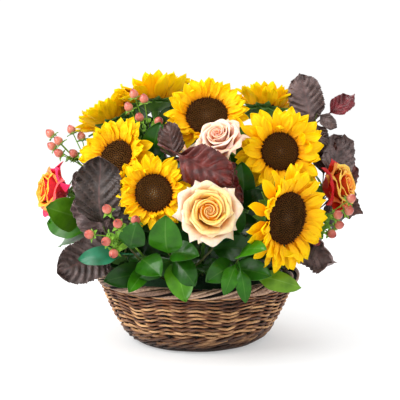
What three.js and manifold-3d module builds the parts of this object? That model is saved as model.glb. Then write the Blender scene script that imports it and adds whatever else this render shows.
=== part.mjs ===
// A round willow basket with a dome of cut flowers: sunflowers, roses, hypericum berries, purple
// hazel and glossy green foliage, all standing in a block of wet floral foam inside a film liner.
// Millimetres, +Z up, the front towards -Y. The origin is the middle of the basket's flat underside.

import * as THREE from "three";
import { mergeVertices } from "three/addons/utils/BufferGeometryUtils.js";
import Module from "manifold-3d";

const wasm = await Module();
wasm.setup();

// ---------------------------------------------------------------------------------------------
// Driving dimensions
// ---------------------------------------------------------------------------------------------

const BASKET = {
  baseRadius: 84, // of the flat that it stands on
  topRadius: 136, // of the woven wall under the border
  wallTop: 81,
  bulge: 0.6, // the wall widens with its height to this power
  wallThickness: 6,
  stakes: 18,
  rows: 8,
  weave: 1.8, // how far a weaver bulges over a stake
  groove: 1.5, // how deep the joint between two rows is
};
const BASE = { height: 7, topRadius: 95 };
const BORDER = { radius: 134.5, centre: 91, halfWidth: 11.5, halfHeight: 8.5, twist: 1 };
const GAP = 0.4; // between solids that touch in the real thing
const MARGIN = 0.5; // round a blade that is tested for room
const LINER = { film: 0.8, top: 94, topRadius: 119.5 };
const FOAM = [
  [0, 9.6],
  [78, 9.6],
  [98, 44],
  [103, 84],
  [80, 118],
  [0, 128],
];
const FOCUS = new THREE.Vector3(0, 0, 30); // every flower stem points here from the foam
const FOOT_REACH = 64; // from the focus to the cut end of a flower stem
const HOLE_CLEARANCE = 0.6;

// Each flower: the middle of its face, the way it looks (azimuth from +X and rise, in degrees), its
// radius to the petal tips and, for a sunflower, the radius of its disc and how far it cups its rays.
const SUNFLOWERS = {
  front_left: { at: [-54, -150, 225], looks: [-98, 10], radius: 50, disc: 24, cup: 0 },
  front_right: { at: [113, -150, 193], looks: [-48, -4], radius: 71, disc: 34, cup: 4 },
  right: { at: [107, -104, 273], looks: [-80, 10], radius: 61, disc: 25, cup: 0 },
  top: { at: [13, -58, 316], looks: [-92, 34], radius: 60, disc: 28, cup: 10 },
  left: { at: [-106, -75, 262], looks: [-118, 26], radius: 58, disc: 24, cup: 8 },
  top_left: { at: [-60, 24, 332], looks: [102, 74], radius: 68, disc: 24, cup: 40 },
  top_right: { at: [96, 26, 322], looks: [70, 68], radius: 56, disc: 22, cup: 36 },
  far_left: { at: [-120, 36, 300], looks: [140, 56], radius: 58, disc: 22, cup: 30 },
  back_left: { at: [-130, 96, 222], looks: [142, 22], radius: 61, disc: 26, cup: 0 },
  back_right: { at: [134, 92, 230], looks: [36, 24], radius: 61, disc: 26, cup: 0 },
};
const RAYS_A_LAYER = 8;
const DISC_SIDES = 12;
const RING = { width: 3.6, halfHeight: 2.2 }; // the rim of the disc, which the rays grow from
const RAY = { halfWidth: 0.3, keel: 1.5 }; // half its width as a share of its length
const RAY_LAYERS = [
  { rise: 26, reach: 0.93, curl: -0.1 },
  { rise: 6, reach: 1, curl: -0.06 },
];
const DISC_RELIEF = [[1, 2.6, 0], [0.8, 4.6, 0.9], [0.45, 3.2, 0.9]]; // share of radius, height, bump
const FLOWER_STEM = 4; // radius
const STEM_SIDES = 5;

const ROSES = {
  peach: { at: [15, -186, 207], looks: [-86, 12], radius: 46, open: 1, colour: "#f6c98e" },
  blush: { at: [30, -122, 290], looks: [-112, 40], radius: 39, open: 0.55, colour: "#f2c3ad" },
  orange_left: { at: [-196, -46, 214], looks: [-156, 10], radius: 43, open: 0.8, colour: "#f08a3c" },
  orange_right: { at: [190, -56, 222], looks: [-28, 14], radius: 44, open: 0.8, colour: "#ec5a34" },
  back: { at: [6, 156, 258], looks: [88, 34], radius: 46, open: 0.9, colour: "#f6c98e" },
};
const PETALS_A_LAYER = 5;
const PETAL = 1.6; // thickness of a rose petal at its middle
const ROSE_STEM = 2.8;

// Each berry spray: where its stem forks, and the middle of each berry.
const BERRY_SPRAYS = {
  left_high: {
    fork: [-156, 0, 244],
    berries: [
      [-204, 0, 288],
      [-191, -12, 279],
      [-175, 4, 293],
      [-162, 10, 283],
      [-201, -6, 271],
      [-191, -12, 262],
      [-171, -8, 261],
    ],
  },
  top_left: {
    fork: [-66, -32, 284],
    berries: [
      [-85, -36, 344],
      [-71, -46, 338],
      [-92, -42, 327],
      [-77, -54, 314],
      [-51, -58, 309],
    ],
  },
  front_left: {
    fork: [-92, -136, 168],
    berries: [
      [-112, -166, 207],
      [-98, -174, 190],
      [-76, -172, 194],
      [-135, -160, 174],
      [-113, -172, 167],
      [-104, -168, 151],
    ],
  },
  right_low: {
    fork: [160, -74, 176],
    berries: [
      [202, -94, 210],
      [200, -90, 193],
      [184, -104, 190],
      [187, -94, 175],
      [177, -100, 164],
      [156, -110, 156],
    ],
  },
  back: {
    fork: [-6, 150, 190],
    berries: [
      [-26, 196, 206],
      [-8, 204, 194],
      [14, 200, 208],
      [-18, 198, 178],
      [16, 194, 184],
    ],
  },
};
const BERRY = {
  radius: 6,
  length: 14.5,
  sides: 5,
  stalk: 1.1, // radius
  stem: 1.6, // radius
  firstStalk: 1.5, // below the end of the stem
  spacing: 5, // of the stalks down the stem
};

// Foliage: a stem by way of a bend to its end, and each leaf as [where on the stem from 0 to 1,
// its tip, its width, the way its face looks]. A twig leaves the stem where from says, by way of a
// bend to its end, and has leaves of its own.
const HAZEL = {
  left: {
    stem: [[-52, -34, 96], [-112, -84, 130], [-122, -110, 176]],
    leaves: [
      [0.98, [-124, -136, 272], 62, [-100, 8]],
      [0.7, [-182, -128, 118], 58, [-112, -6]],
      [0.9, [-154, -118, 216], 44, [-110, 0]],
      [0.82, [-84, -122, 208], 46, [-95, 0]],
    ],
  },
  centre: {
    stem: [[6, -42, 108], [-6, -88, 190], [-30, -102, 266]],
    leaves: [
      [0.98, [52, -150, 238], 58, [-95, 40]],
      [0.8, [58, -152, 214], 46, [-95, 20]],
      [0.92, [-40, -84, 312], 34, [-95, 20]],
    ],
  },
  top_right: {
    stem: [[44, 4, 104], [116, 6, 220], [164, 6, 302]],
    leaves: [
      [0.97, [142, 6, 372], 50, [-95, 10]],
      [0.99, [220, 10, 342], 29, [-90, 10]],
      [0.88, [184, -12, 280], 26, [-85, 0]],
      [0.8, [166, -16, 276], 22, [-95, -5]],
    ],
  },
  right: {
    stem: [[58, -10, 92], [140, -30, 130], [172, -28, 196]],
    leaves: [
      [0.98, [206, 12, 288], 50, [-80, 10]],
      [0.66, [182, -124, 130], 56, [-80, -8]],
      [0.88, [228, 14, 250], 36, [-70, 0]],
      [0.78, [212, 46, 178], 46, [-10, 10]],
      [0.5, [172, 40, 112], 46, [0, 30]],
    ],
  },
  back: {
    stem: [[-20, 52, 98], [-60, 118, 130], [-72, 136, 182]],
    leaves: [
      [0.98, [-70, 148, 262], 58, [105, 10]],
      [0.74, [-150, 138, 138], 54, [130, 10]],
      [0.86, [-44, 188, 166], 48, [100, 10]],
      [0.92, [-118, 128, 176], 44, [120, 10]],
    ],
  },
};
const GREENS = {
  left: {
    stem: [[-62, -12, 88], [-132, -30, 122], [-154, -58, 180]],
    twig: {
      from: 0.35,
      to: [[-84, -60, 180], [-58, -64, 262]],
      leaves: [
        [0.98, [-48, -84, 312], 34, [-95, 20]],
        [0.86, [-88, -86, 300], 28, [-100, 10]],
        [0.78, [-18, -100, 262], 30, [-85, 20]],
        [0.5, [-94, -110, 216], 36, [-105, 15]],
        [0.4, [-52, -116, 196], 34, [-90, 20]],
      ],
    },
    leaves: [
      [0.98, [-210, -88, 198], 46, [-110, 15]],
      [0.84, [-208, -20, 168], 40, [-150, 20]],
      [0.7, [-196, 14, 126], 42, [170, 25]],
      [0.55, [-160, 60, 106], 42, [155, 25]],
      [0.46, [-160, -96, 98], 36, [-125, 10]],
    ],
  },
  front_left: {
    stem: [[-26, -58, 86], [-56, -128, 112], [-84, -160, 156]],
    leaves: [
      [0.9, [-152, -154, 138], 26, [-100, 25]],
      [0.99, [-76, -182, 196], 34, [-95, 5]],
      [0.66, [-88, -172, 102], 22, [-95, 10]],
      [0.8, [-44, -184, 124], 36, [-85, 25]],
      [0.52, [-118, -158, 112], 34, [-110, 20]],
    ],
  },
  front: {
    stem: [[-10, -60, 84], [-14, -118, 120], [-36, -160, 150]],
    twig: {
      from: 0.4,
      to: [[30, -130, 150], [62, -118, 214]],
      leaves: [
        [0.98, [58, -136, 262], 30, [-90, 20]],
        [0.9, [88, -128, 226], 26, [-85, 10]],
        [0.7, [60, -160, 204], 34, [-85, 15]],
        [0.5, [22, -158, 178], 34, [-95, 20]],
        [0.4, [70, -160, 160], 34, [-80, 20]],
      ],
    },
    leaves: [
      [0.78, [-14, -184, 90], 36, [-90, 10]],
      [0.88, [2, -180, 112], 32, [-80, 5]],
      [0.99, [-38, -188, 206], 42, [-100, 15]],
      [0.94, [6, -184, 152], 30, [-85, 35]],
      [0.83, [-66, -182, 140], 30, [-100, 30]],
    ],
  },
  front_right: {
    stem: [[26, -58, 84], [46, -116, 112], [52, -166, 144]],
    leaves: [
      [0.8, [10, -188, 116], 32, [-95, 20]],
      [0.9, [32, -186, 96], 22, [-95, 5]],
      [0.97, [64, -190, 92], 20, [-85, 5]],
      [0.98, [98, -206, 144], 30, [-80, 40]],
      [0.58, [138, -158, 104], 28, [-65, 15]],
      [0.7, [96, -172, 124], 32, [-75, 20]],
    ],
  },
  back: {
    stem: [[10, 60, 86], [20, 124, 112], [24, 156, 142]],
    twig: {
      from: 0.35,
      to: [[50, 96, 170], [56, 112, 236]],
      leaves: [
        [0.98, [64, 128, 296], 42, [80, 20]],
        [0.84, [26, 130, 300], 36, [95, 20]],
        [0.66, [104, 134, 186], 42, [60, 20]],
        [0.4, [84, 158, 160], 42, [70, 20]],
      ],
    },
    leaves: [
      [0.98, [6, 186, 96], 30, [95, 10]],
      [0.9, [52, 186, 100], 34, [80, 10]],
      [0.8, [-34, 168, 112], 38, [100, 15]],
      [0.72, [84, 158, 112], 38, [65, 15]],
      [0.5, [-88, 134, 108], 42, [120, 25]],
      [0.56, [128, 106, 108], 42, [45, 25]],
    ],
  },
};
const LEAFY_STEM = 1.7; // radius
const LEAFY_STEPS = 3; // straight lengths that a leafy stem bends in
const LEAF = { keel: 1.5, arch: 0.06 };

// Outlines of the blades, as [how far along, half width] in shares of the length and half width.
const RAY_OUTLINE = [[0.4, 1], [0.76, 0.78]];
const BRACT_OUTLINE = [[0.35, 1]];
const OVAL_OUTLINE = [[0, 0.07], [0.16, 0.5], [0.42, 1], [0.74, 0.72]];
const TOOTHED_OUTLINE = [
  [0, 0.05],
  [0.12, 0.12],
  [0.24, 0.8],
  [0.42, 0.84],
  [0.46, 1],
  [0.66, 0.72],
  [0.72, 0.8],
];

// The green behind a flower: a cup with pointed bracts or sepals.
const CALYX = {
  count: 8,
  spread: 2, // past the disc
  depth: 13,
  bract: { length: 17, halfWidth: 6.5, rise: -16, curl: 0.1, keel: 1.2 },
};
const SEPALS = {
  count: 5,
  rim: 5.6,
  depth: 10,
  bract: { length: 20, halfWidth: 3.8, rise: -14, curl: -0.1, keel: 1.2 },
};
const CUP_RIM = 3; // height of the rim that the bracts grow from

// A rose as shares of its radius: the outline of its heart, [radius, height], and the layers of
// petals that grow from the lower edges of that outline, [radius, height, half angle] up to a tip.
const ROSE_HEART = [
  [0.2, -0.5],
  [0.26, -0.38],
  [0.28, -0.24],
  [0.28, -0.1],
  [0.2, 0.3],
  [0, 0.18],
  [0, -0.5],
];
const ROSE_DEPTH = 0.5;
const roseLayers = (open) => [
  {
    path: [[0.62, -0.36, 30], [0.72 + 0.12 * open, -0.06 - 0.1 * open, 29]],
    tip: [0.8 + 0.2 * open, 0.3 - 0.24 * open],
  },
  { path: [[0.54, -0.18, 32], [0.6, 0.1, 30]], tip: [0.62, 0.3] },
  { path: [[0.42, 0, 36]], tip: [0.36, 0.38] },
];

const COLOURS = {
  willow: "#6a4630",
  willowLight: "#8a6040",
  film: "#2c332c",
  foam: "#2f5a34",
  ray: "#fbbf08",
  disc: "#3a2212",
  stem: "#4c7a2c",
  berry: "#e98a76",
  hazel: "#4a2a30",
  leaf: "#2f7a1c",
};

// ---------------------------------------------------------------------------------------------
// Small tools
// ---------------------------------------------------------------------------------------------

const UP = new THREE.Vector3(0, 0, 1);
const vector = (values) => new THREE.Vector3(...values);
const radians = THREE.MathUtils.degToRad;

// A repeatable random draw between -1 and 1.
function seededDraw(seed) {
  let state = seed;
  return () => {
    state = (state * 1664525 + 1013904223) % 4294967296;
    return (state / 4294967296) * 2 - 1;
  };
}

function direction(azimuth, rise) {
  const a = radians(azimuth);
  const r = radians(rise);
  return new THREE.Vector3(Math.cos(a) * Math.cos(r), Math.sin(a) * Math.cos(r), Math.sin(r));
}

// A three.js geometry as a solid that can be joined and cut.
function toSolid(geometry) {
  const flat = geometry.index ? geometry.toNonIndexed() : geometry;
  const bare = new THREE.BufferGeometry().setAttribute("position", flat.getAttribute("position"));
  const merged = mergeVertices(bare, 1e-3);
  const corners = merged.index.array;
  const kept = [];
  for (let i = 0; i < corners.length; i += 3) {
    const [a, b, c] = [corners[i], corners[i + 1], corners[i + 2]];
    if (a !== b && b !== c && c !== a) kept.push(a, b, c);
  }
  return new wasm.Manifold(
    new wasm.Mesh({
      numProp: 3,
      vertProperties: merged.attributes.position.array,
      triVerts: new Uint32Array(kept),
    }),
  );
}

function toGeometry(solid) {
  const mesh = solid.getMesh();
  const geometry = new THREE.BufferGeometry();
  geometry.setAttribute("position", new THREE.BufferAttribute(mesh.vertProperties, 3));
  geometry.setIndex(new THREE.BufferAttribute(mesh.triVerts, 1));
  geometry.computeVertexNormals();
  return geometry;
}

const join = (solids) => solids.reduce((all, next) => all.add(next));

function indexed(points, corners) {
  const geometry = new THREE.BufferGeometry();
  geometry.setAttribute("position", new THREE.Float32BufferAttribute(points.flat(), 3));
  geometry.setIndex(corners);
  return geometry;
}

// A solid of revolution about +Z, from [radius, height] pairs that begin and end on the axis.
function turned(profile, segments) {
  const points = profile.map(([radius, height]) => new THREE.Vector2(radius, height));
  return new THREE.LatheGeometry(points, segments).rotateX(Math.PI / 2);
}

// A closed ring about +Z whose cross-section is sectionAt(column), a loop of [radius, height].
function ringOf(columns, sectionAt) {
  const points = [];
  const corners = [];
  let size = 0;
  for (let i = 0; i < columns; i++) {
    const angle = (i / columns) * 2 * Math.PI;
    const section = sectionAt(i, angle);
    size = section.length;
    for (const [radius, height] of section)
      points.push([radius * Math.cos(angle), radius * Math.sin(angle), height]);
  }
  for (let i = 0; i < columns; i++)
    for (let k = 0; k < size; k++) {
      const here = i * size;
      const next = ((i + 1) % columns) * size;
      const up = (k + 1) % size;
      corners.push(here + k, next + k, next + up, here + k, next + up, here + up);
    }
  return indexed(points, corners);
}

// A round bar of few sides along a curve.
function bar(curve, radius, sides, steps) {
  const corners = [];
  for (let i = 0; i < sides; i++) {
    const angle = (i / sides) * 2 * Math.PI;
    corners.push(new THREE.Vector2(Math.cos(angle) * radius, Math.sin(angle) * radius));
  }
  const options = { steps, extrudePath: curve, bevelEnabled: false };
  return new THREE.ExtrudeGeometry(new THREE.Shape(corners), options);
}

// The sides of a thin blade that ends in a point, added to points and corners. A ring is
// [left edge, right edge, keel] or [left edge, face, right edge, back]. Face and back are split
// along the same diagonals, so that they never cross.
function growBlade(points, corners, rings, tip) {
  const start = points.length;
  const size = rings[0].length;
  points.push(...rings.flat(), tip);
  rings.slice(1).forEach((ring, i) => {
    const a = start + i * size;
    const b = a + size;
    for (let p = 0; p < size; p++) {
      const q = (p + 1) % size;
      if (p === 0 || p === size - 2) corners.push(a + p, b + q, b + p, a + p, a + q, b + q);
      else corners.push(a + p, a + q, b + p, a + q, b + q, b + p);
    }
  });
  const end = start + (rings.length - 1) * size;
  for (let p = 0; p < size; p++) corners.push(end + p, end + ((p + 1) % size), end + size);
  return start;
}

function blade(rings, tip) {
  const points = [];
  const corners = [];
  growBlade(points, corners, rings, tip);
  corners.push(0, 2, 1);
  if (rings[0].length === 4) corners.push(0, 3, 2);
  return indexed(points, corners);
}

// A closed ring about +Z with loop, [radius, height] pairs, as its cross-section. bladeAt(column,
// edge) may give a blade that grows out of the face between two columns on that edge of the loop,
// as { rings, tip }. A loop may touch the axis, which makes the ring a solid of revolution.
function crown(columns, loop, bladeAt) {
  const points = [];
  const corners = [];
  for (let i = 0; i < columns; i++) {
    const angle = ((i - 0.5) / columns) * 2 * Math.PI;
    for (const [radius, height] of loop)
      points.push([radius * Math.cos(angle), radius * Math.sin(angle), height]);
  }
  for (let i = 0; i < columns; i++)
    for (let edge = 0; edge < loop.length; edge++) {
      const lowRight = i * loop.length + edge;
      const lowLeft = ((i + 1) % columns) * loop.length + edge;
      const topRight = lowRight - edge + ((edge + 1) % loop.length);
      const topLeft = lowLeft - edge + ((edge + 1) % loop.length);
      const grown = bladeAt(i, edge);
      if (!grown) {
        corners.push(lowRight, lowLeft, topLeft, lowRight, topLeft, topRight);
        continue;
      }
      const left = growBlade(points, corners, grown.rings, grown.tip);
      const right = grown.rings[0].length === 3 ? left + 1 : left + 2;
      const back = right + 1;
      if (right === left + 1) corners.push(topLeft, topRight, right, topLeft, right, left);
      else {
        const face = left + 1;
        corners.push(topLeft, topRight, face, topRight, right, face, topLeft, face, left);
      }
      corners.push(topRight, back, right, topRight, lowRight, back);
      corners.push(topLeft, left, back, topLeft, back, lowLeft);
      corners.push(lowLeft, back, lowRight);
    }
  return indexed(points, corners);
}

// The rings of a leaf or ray along +X with its face to +Z and a keel under it. The outline is
// [how far along, half width], as shares of the length and the half width; arch bows it, and curl
// bends its tip.
function leafRings({ length, halfWidth, outline, keel, arch = 0, curl = 0 }) {
  const heightAt = (t) => length * (4 * arch * t * (1 - t) + curl * t * t);
  const rings = outline.map(([t, share]) => [
    [length * t, halfWidth * share, heightAt(t)],
    [length * t, -halfWidth * share, heightAt(t)],
    [length * t, 0, heightAt(t) - keel],
  ]);
  return { rings, tip: [length, 0, heightAt(1)] };
}

// A blade moved out from the axis, raised by rise and turned about +Z, both in radians.
function bladeFrom({ rings, tip }, { radius, height, rise, turn }) {
  const place = new THREE.Matrix4().makeRotationZ(turn);
  place.multiply(new THREE.Matrix4().makeTranslation(radius, 0, height));
  place.multiply(new THREE.Matrix4().makeRotationY(-rise));
  const put = (point) => vector(point).applyMatrix4(place).toArray();
  return { rings: rings.map((ring) => ring.map(put)), tip: put(tip) };
}

// ---------------------------------------------------------------------------------------------
// Keeping pieces clear of each other
// ---------------------------------------------------------------------------------------------

const placed = []; // { solid, box } of everything built so far, in the part's frame

function boxOf(solid) {
  const { min, max } = solid.boundingBox();
  return new THREE.Box3(vector([...min]), vector([...max]));
}

const boxed = (solid) => ({ solid, box: boxOf(solid) });

function touches(solid, others) {
  const box = boxOf(solid);
  return others.some((o) => o.box.intersectsBox(box) && !solid.intersect(o.solid).isEmpty());
}

// Ways to bend a blade clear: first at full size, by more and more degrees, then shorter.
const waysClear = (sizes, bends) => sizes.flatMap((size) => bends.map((bend) => ({ bend, size })));

// The first way that is clear of what stands already, or nothing. A blade is made twice: once with
// a margin all round, to test it with room to spare, and once as it will be.
function firstClear(ways, make, others) {
  const way = ways.find((candidate) => !touches(make(candidate, MARGIN).solid, others));
  return way ? make(way, 0) : null;
}

// ---------------------------------------------------------------------------------------------
// Basket, liner and foam
// ---------------------------------------------------------------------------------------------

function wallRadius(height) {
  const swell = (height / BASKET.wallTop) ** BASKET.bulge;
  return BASKET.baseRadius + (BASKET.topRadius - BASKET.baseRadius) * swell;
}

// The woven wall: weavers in rows that pass outside one stake and inside the next.
function basketWall() {
  const bottom = BASE.height + GAP;
  const rowHeight = (BASKET.wallTop - bottom) / BASKET.rows;
  return ringOf(BASKET.stakes * 2, (column) => {
    const section = [];
    for (let level = 0; level <= BASKET.rows * 2; level++) {
      const height = bottom + (level * rowHeight) / 2;
      const row = (level - 1) / 2;
      const over = (column / 2 + row) % 2 === 0 ? BASKET.weave : -BASKET.weave;
      const atStake = column % 2 === 0 ? over : 0;
      const relief = level % 2 === 1 ? atStake + BASKET.groove / 2 : -BASKET.groove;
      section.push([wallRadius(height) + relief, height]);
    }
    for (const height of [BASKET.wallTop, 32, bottom])
      section.push([wallRadius(height) - BASKET.wallThickness, height]);
    return section;
  });
}

// The rolled border: rods laid on a slant round the rim.
function basketBorder() {
  const sides = 6;
  return ringOf(BASKET.stakes * 2, (column) => {
    const section = [];
    for (let k = 0; k < sides; k++) {
      const angle = ((k + 0.5) / sides) * 2 * Math.PI - Math.PI;
      const strand = (column + k * 2) % 4 < 2 ? BORDER.twist : -BORDER.twist;
      section.push([
        BORDER.radius + Math.cos(angle) * (BORDER.halfWidth + strand),
        BORDER.centre + Math.sin(angle) * (BORDER.halfHeight - Math.abs(strand) / 3),
      ]);
    }
    return section;
  });
}

function basketBase() {
  const { height, topRadius } = BASE;
  return turned([[0, 0], [BASKET.baseRadius, 0], [topRadius, height], [0, height]], BASKET.stakes);
}

// A pot of thin film that keeps the foam's water out of the willow.
function liner() {
  const floor = BASE.height + GAP;
  const levels = [floor, 40, BASKET.wallTop - 6];
  const fit = (height) => wallRadius(height) - BASKET.wallThickness - BASKET.groove - 2 * GAP;
  const outer = levels.map((height) => [fit(height), height]);
  outer.push([LINER.topRadius, LINER.top]);
  const inner = outer.map(([radius, height]) => [radius - LINER.film, height]).reverse();
  inner[inner.length - 1][1] += LINER.film;
  return turned([[0, floor], ...outer, ...inner, [0, floor + LINER.film]], BASKET.stakes);
}

// ---------------------------------------------------------------------------------------------
// Stems
// ---------------------------------------------------------------------------------------------

const holes = []; // of every stem, which are cut out of the foam

// A stem of few sides, which also marks the hole that it stands in: a little wider and deeper.
function stemAlong(curve, radius, steps) {
  const deeper = curve.clone();
  deeper.v0.addScaledVector(curve.getTangent(0), -HOLE_CLEARANCE * 2);
  holes.push(toSolid(bar(deeper, radius + HOLE_CLEARANCE, STEM_SIDES, steps)));
  return bar(curve, radius, STEM_SIDES, steps);
}

// A flower stem comes out of the foam in line with the focus and ends square to the flower's back.
function flowerStem(neck, looks) {
  const outwards = neck.clone().sub(FOCUS).normalize();
  const foot = FOCUS.clone().addScaledVector(outwards, FOOT_REACH);
  const span = neck.distanceTo(foot);
  const low = foot.clone().addScaledVector(outwards, span * 0.6);
  const high = neck.clone().addScaledVector(looks, -span * 0.28);
  return new THREE.CubicBezierCurve3(foot, low, high, neck);
}

const bentStem = (points) => new THREE.QuadraticBezierCurve3(...points.map(vector));

// A point on the middle of a bar, which is straight from each of its steps to the next.
function pointOnBar(curve, where, steps) {
  const step = Math.min(Math.floor(where * steps), steps - 1);
  const next = curve.getPointAt((step + 1) / steps);
  return curve.getPointAt(step / steps).lerp(next, where * steps - step);
}

// ---------------------------------------------------------------------------------------------
// Flowers
// ---------------------------------------------------------------------------------------------

function flowerGroup({ at, looks }, roll) {
  const group = new THREE.Group();
  group.position.fromArray(at);
  group.quaternion.setFromUnitVectors(UP, direction(...looks));
  group.rotateZ(radians(roll));
  group.updateMatrixWorld(true);
  return group;
}

function addPiece(parent, name, solid, colour, roughness = 0.6) {
  const material = new THREE.MeshStandardMaterial({ color: colour, roughness, metalness: 0 });
  const mesh = new THREE.Mesh(toGeometry(solid), material);
  mesh.name = name;
  parent.add(mesh);
  parent.updateMatrixWorld(true);
  placed.push(boxed(solid.transform(parent.matrixWorld.elements)));
}

// The green of a flower: a cup with a pointed bract or sepal on each of its sides, and the stem.
function greenBehind(group, flower, { count, rim, depth, top, bract, stemRadius }) {
  const looks = direction(...flower.looks);
  const neck = vector(flower.at).addScaledVector(looks, top - depth + 2);
  const stem = stemAlong(flowerStem(neck, looks), stemRadius, 5);
  stem.applyMatrix4(group.matrixWorld.clone().invert());
  const belly = [rim * 0.6, top - depth * 0.6];
  const loop = [[rim, top - CUP_RIM], [rim, top], [0, top], [0, top - depth], belly];
  const cup = crown(count, loop, (column, edge) => {
    if (edge > 0) return null;
    const turn = (column / count) * 2 * Math.PI;
    const shape = leafRings({ ...bract, outline: BRACT_OUTLINE });
    return bladeFrom(shape, { radius: rim, height: top - 1, rise: radians(bract.rise), turn });
  });
  return join([toSolid(cup), toSolid(stem)]);
}

// The disc: florets raised as a ring of bumps round a flatter eye.
function sunflowerDisc(radius) {
  const segments = DISC_SIDES;
  const points = [];
  const corners = [];
  const floor = -RING.halfHeight;
  const rings = [[1, floor, 0], ...DISC_RELIEF];
  rings.forEach(([share, height, bump], level) => {
    for (let i = 0; i < segments; i++) {
      const angle = (i / segments) * 2 * Math.PI;
      const reach = radius * share;
      const raised = (i + level) % 2 === 0 ? bump : 0;
      points.push([Math.cos(angle) * reach, Math.sin(angle) * reach, height + raised]);
    }
  });
  const top = points.push([0, 0, DISC_RELIEF[0][1]]) - 1;
  const under = points.push([0, 0, floor]) - 1;
  const last = (rings.length - 1) * segments;
  for (let i = 0; i < segments; i++) {
    const next = (i + 1) % segments;
    for (let level = 0; level + 1 < rings.length; level++) {
      const a = level * segments;
      const b = a + segments;
      corners.push(a + i, a + next, b + next, a + i, b + next, b + i);
    }
    corners.push(last + i, last + next, top, next, i, under);
  }
  return indexed(points, corners);
}

const RAY_WAYS = waysClear([1, 0.86, 0.7, 0.5], [0, 9, -9, 18, -18, 28, 40, 52, 64]);
const LOWEST_RAY = -14; // degrees, which keeps the rays off the bracts

// A sunflower's rays in two layers, which grow from the faces of a ring round the disc. Each ray
// is bent, or shortened, until it is clear of its neighbours.
function sunflowerRays(group, flower, seed) {
  const draw = seededDraw(seed);
  const columns = RAYS_A_LAYER * 2;
  const inner = (flower.disc + GAP) / Math.cos(Math.PI / columns);
  const outer = inner + RING.width;
  const half = RING.halfHeight;
  const loop = [[outer, -half], [outer, half], [inner, half], [inner, -half]];
  const rays = [];
  const ring = crown(columns, loop, (column, edge) => {
    if (edge > 0) return null;
    const layer = RAY_LAYERS[column % 2];
    const reach = (flower.radius - outer) * layer.reach * (1 + draw() * 0.06);
    const rise = layer.rise + flower.cup + draw() * 6;
    const turn = (column / columns) * 2 * Math.PI;
    const make = ({ bend, size }, margin) => {
      const shape = leafRings({
        length: reach * size + margin,
        halfWidth: reach * RAY.halfWidth + margin,
        outline: margin ? [[0.1, 1], ...RAY_OUTLINE.slice(1)] : RAY_OUTLINE,
        keel: RAY.keel + margin,
        curl: layer.curl,
      });
      const angle = radians(Math.max(rise + bend, LOWEST_RAY));
      const { rings, tip } = bladeFrom(shape, { radius: outer, height: 0, rise: angle, turn });
      return { rings, tip, solid: toSolid(blade(rings, tip).applyMatrix4(group.matrixWorld)) };
    };
    const ray = firstClear(RAY_WAYS, make, [...placed, ...rays]);
    if (ray) rays.push(boxed(ray.solid));
    return ray;
  });
  return toSolid(ring);
}

const sunflowerGreen = (group, flower) =>
  greenBehind(group, flower, {
    ...CALYX,
    rim: flower.disc + CALYX.spread,
    top: -RING.halfHeight - GAP,
    stemRadius: FLOWER_STEM,
  });

// One rose petal, turned about the flower's axis. It climbs through [radius, height, half angle]
// sections and wraps round the axis by its half angle.
function rosePetal(path, tip, turn) {
  const rings = path.map(([radius, height, half], i) => {
    const [nextRadius, nextHeight] = path[i + 1] ?? tip;
    const slope = Math.atan2(nextHeight - height, nextRadius - radius);
    const x = (-Math.sin(slope) * PETAL) / 2;
    const z = (Math.cos(slope) * PETAL) / 2;
    const edge = radius * Math.cos(radians(half));
    const reach = radius * Math.sin(radians(half));
    return [
      [edge, reach, height],
      [radius + x, 0, height + z],
      [edge, -reach, height],
      [radius - x, 0, height - z],
    ];
  });
  return bladeFrom({ rings, tip: [tip[0], 0, tip[1]] }, { radius: 0, height: 0, rise: 0, turn });
}

// The petals of a rose, in three layers that grow from the sides of a furled heart. An open rose
// lays its outer ones back.
function rosePetals({ radius, open }) {
  const scaled = (pairs) => pairs.map(([r, z, ...angle]) => [r * radius, z * radius, ...angle]);
  const layers = roseLayers(open);
  const columns = PETALS_A_LAYER * 2;
  return toSolid(
    crown(columns, scaled(ROSE_HEART), (column, edge) => {
      if (edge >= layers.length || column % 2 !== edge % 2) return null;
      const { path, tip } = layers[edge];
      const turn = (column / columns) * 2 * Math.PI;
      return rosePetal(scaled(path), tip.map((share) => share * radius), turn);
    }),
  );
}

const roseGreen = (group, rose) =>
  greenBehind(group, rose, {
    ...SEPALS,
    top: -ROSE_DEPTH * rose.radius - GAP,
    stemRadius: ROSE_STEM,
  });

// ---------------------------------------------------------------------------------------------
// Berries and foliage
// ---------------------------------------------------------------------------------------------

// A hypericum spray: a stem with stalks that leave it one above the other near its end, each with
// one berry on it.
function berrySpray({ fork, berries }) {
  const end = vector(fork);
  const outwards = end.clone().sub(FOCUS).normalize();
  const foot = FOCUS.clone().addScaledVector(outwards, FOOT_REACH);
  const stem = new THREE.QuadraticBezierCurve3(foot, foot.clone().lerp(end, 0.5), end);
  const parts = [toSolid(stemAlong(stem, BERRY.stem, 1))];
  berries.forEach((middle, i) => {
    const below = BERRY.firstStalk + BERRY.spacing * (berries.length - 1 - i);
    const root = end.clone().addScaledVector(outwards, -below);
    const away = vector(middle).sub(root);
    const reach = away.length();
    const profile = [
      [0, 0],
      [BERRY.stalk, 0],
      [BERRY.stalk, reach - BERRY.length * 0.5],
      [BERRY.radius, reach + BERRY.length * 0.05],
      [0, reach + BERRY.length * 0.5],
    ];
    const turn = new THREE.Quaternion().setFromUnitVectors(UP, away.normalize());
    const berry = turned(profile, BERRY.sides).applyQuaternion(turn);
    parts.push(toSolid(berry.translate(...root.toArray())));
  });
  return join(parts);
}

const LEAF_WAYS = waysClear([1, 0.88, 0.76, 0.62], [0, 7, -7, 14, -14, 22, -22, 30, -30, 40, -40]);

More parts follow.
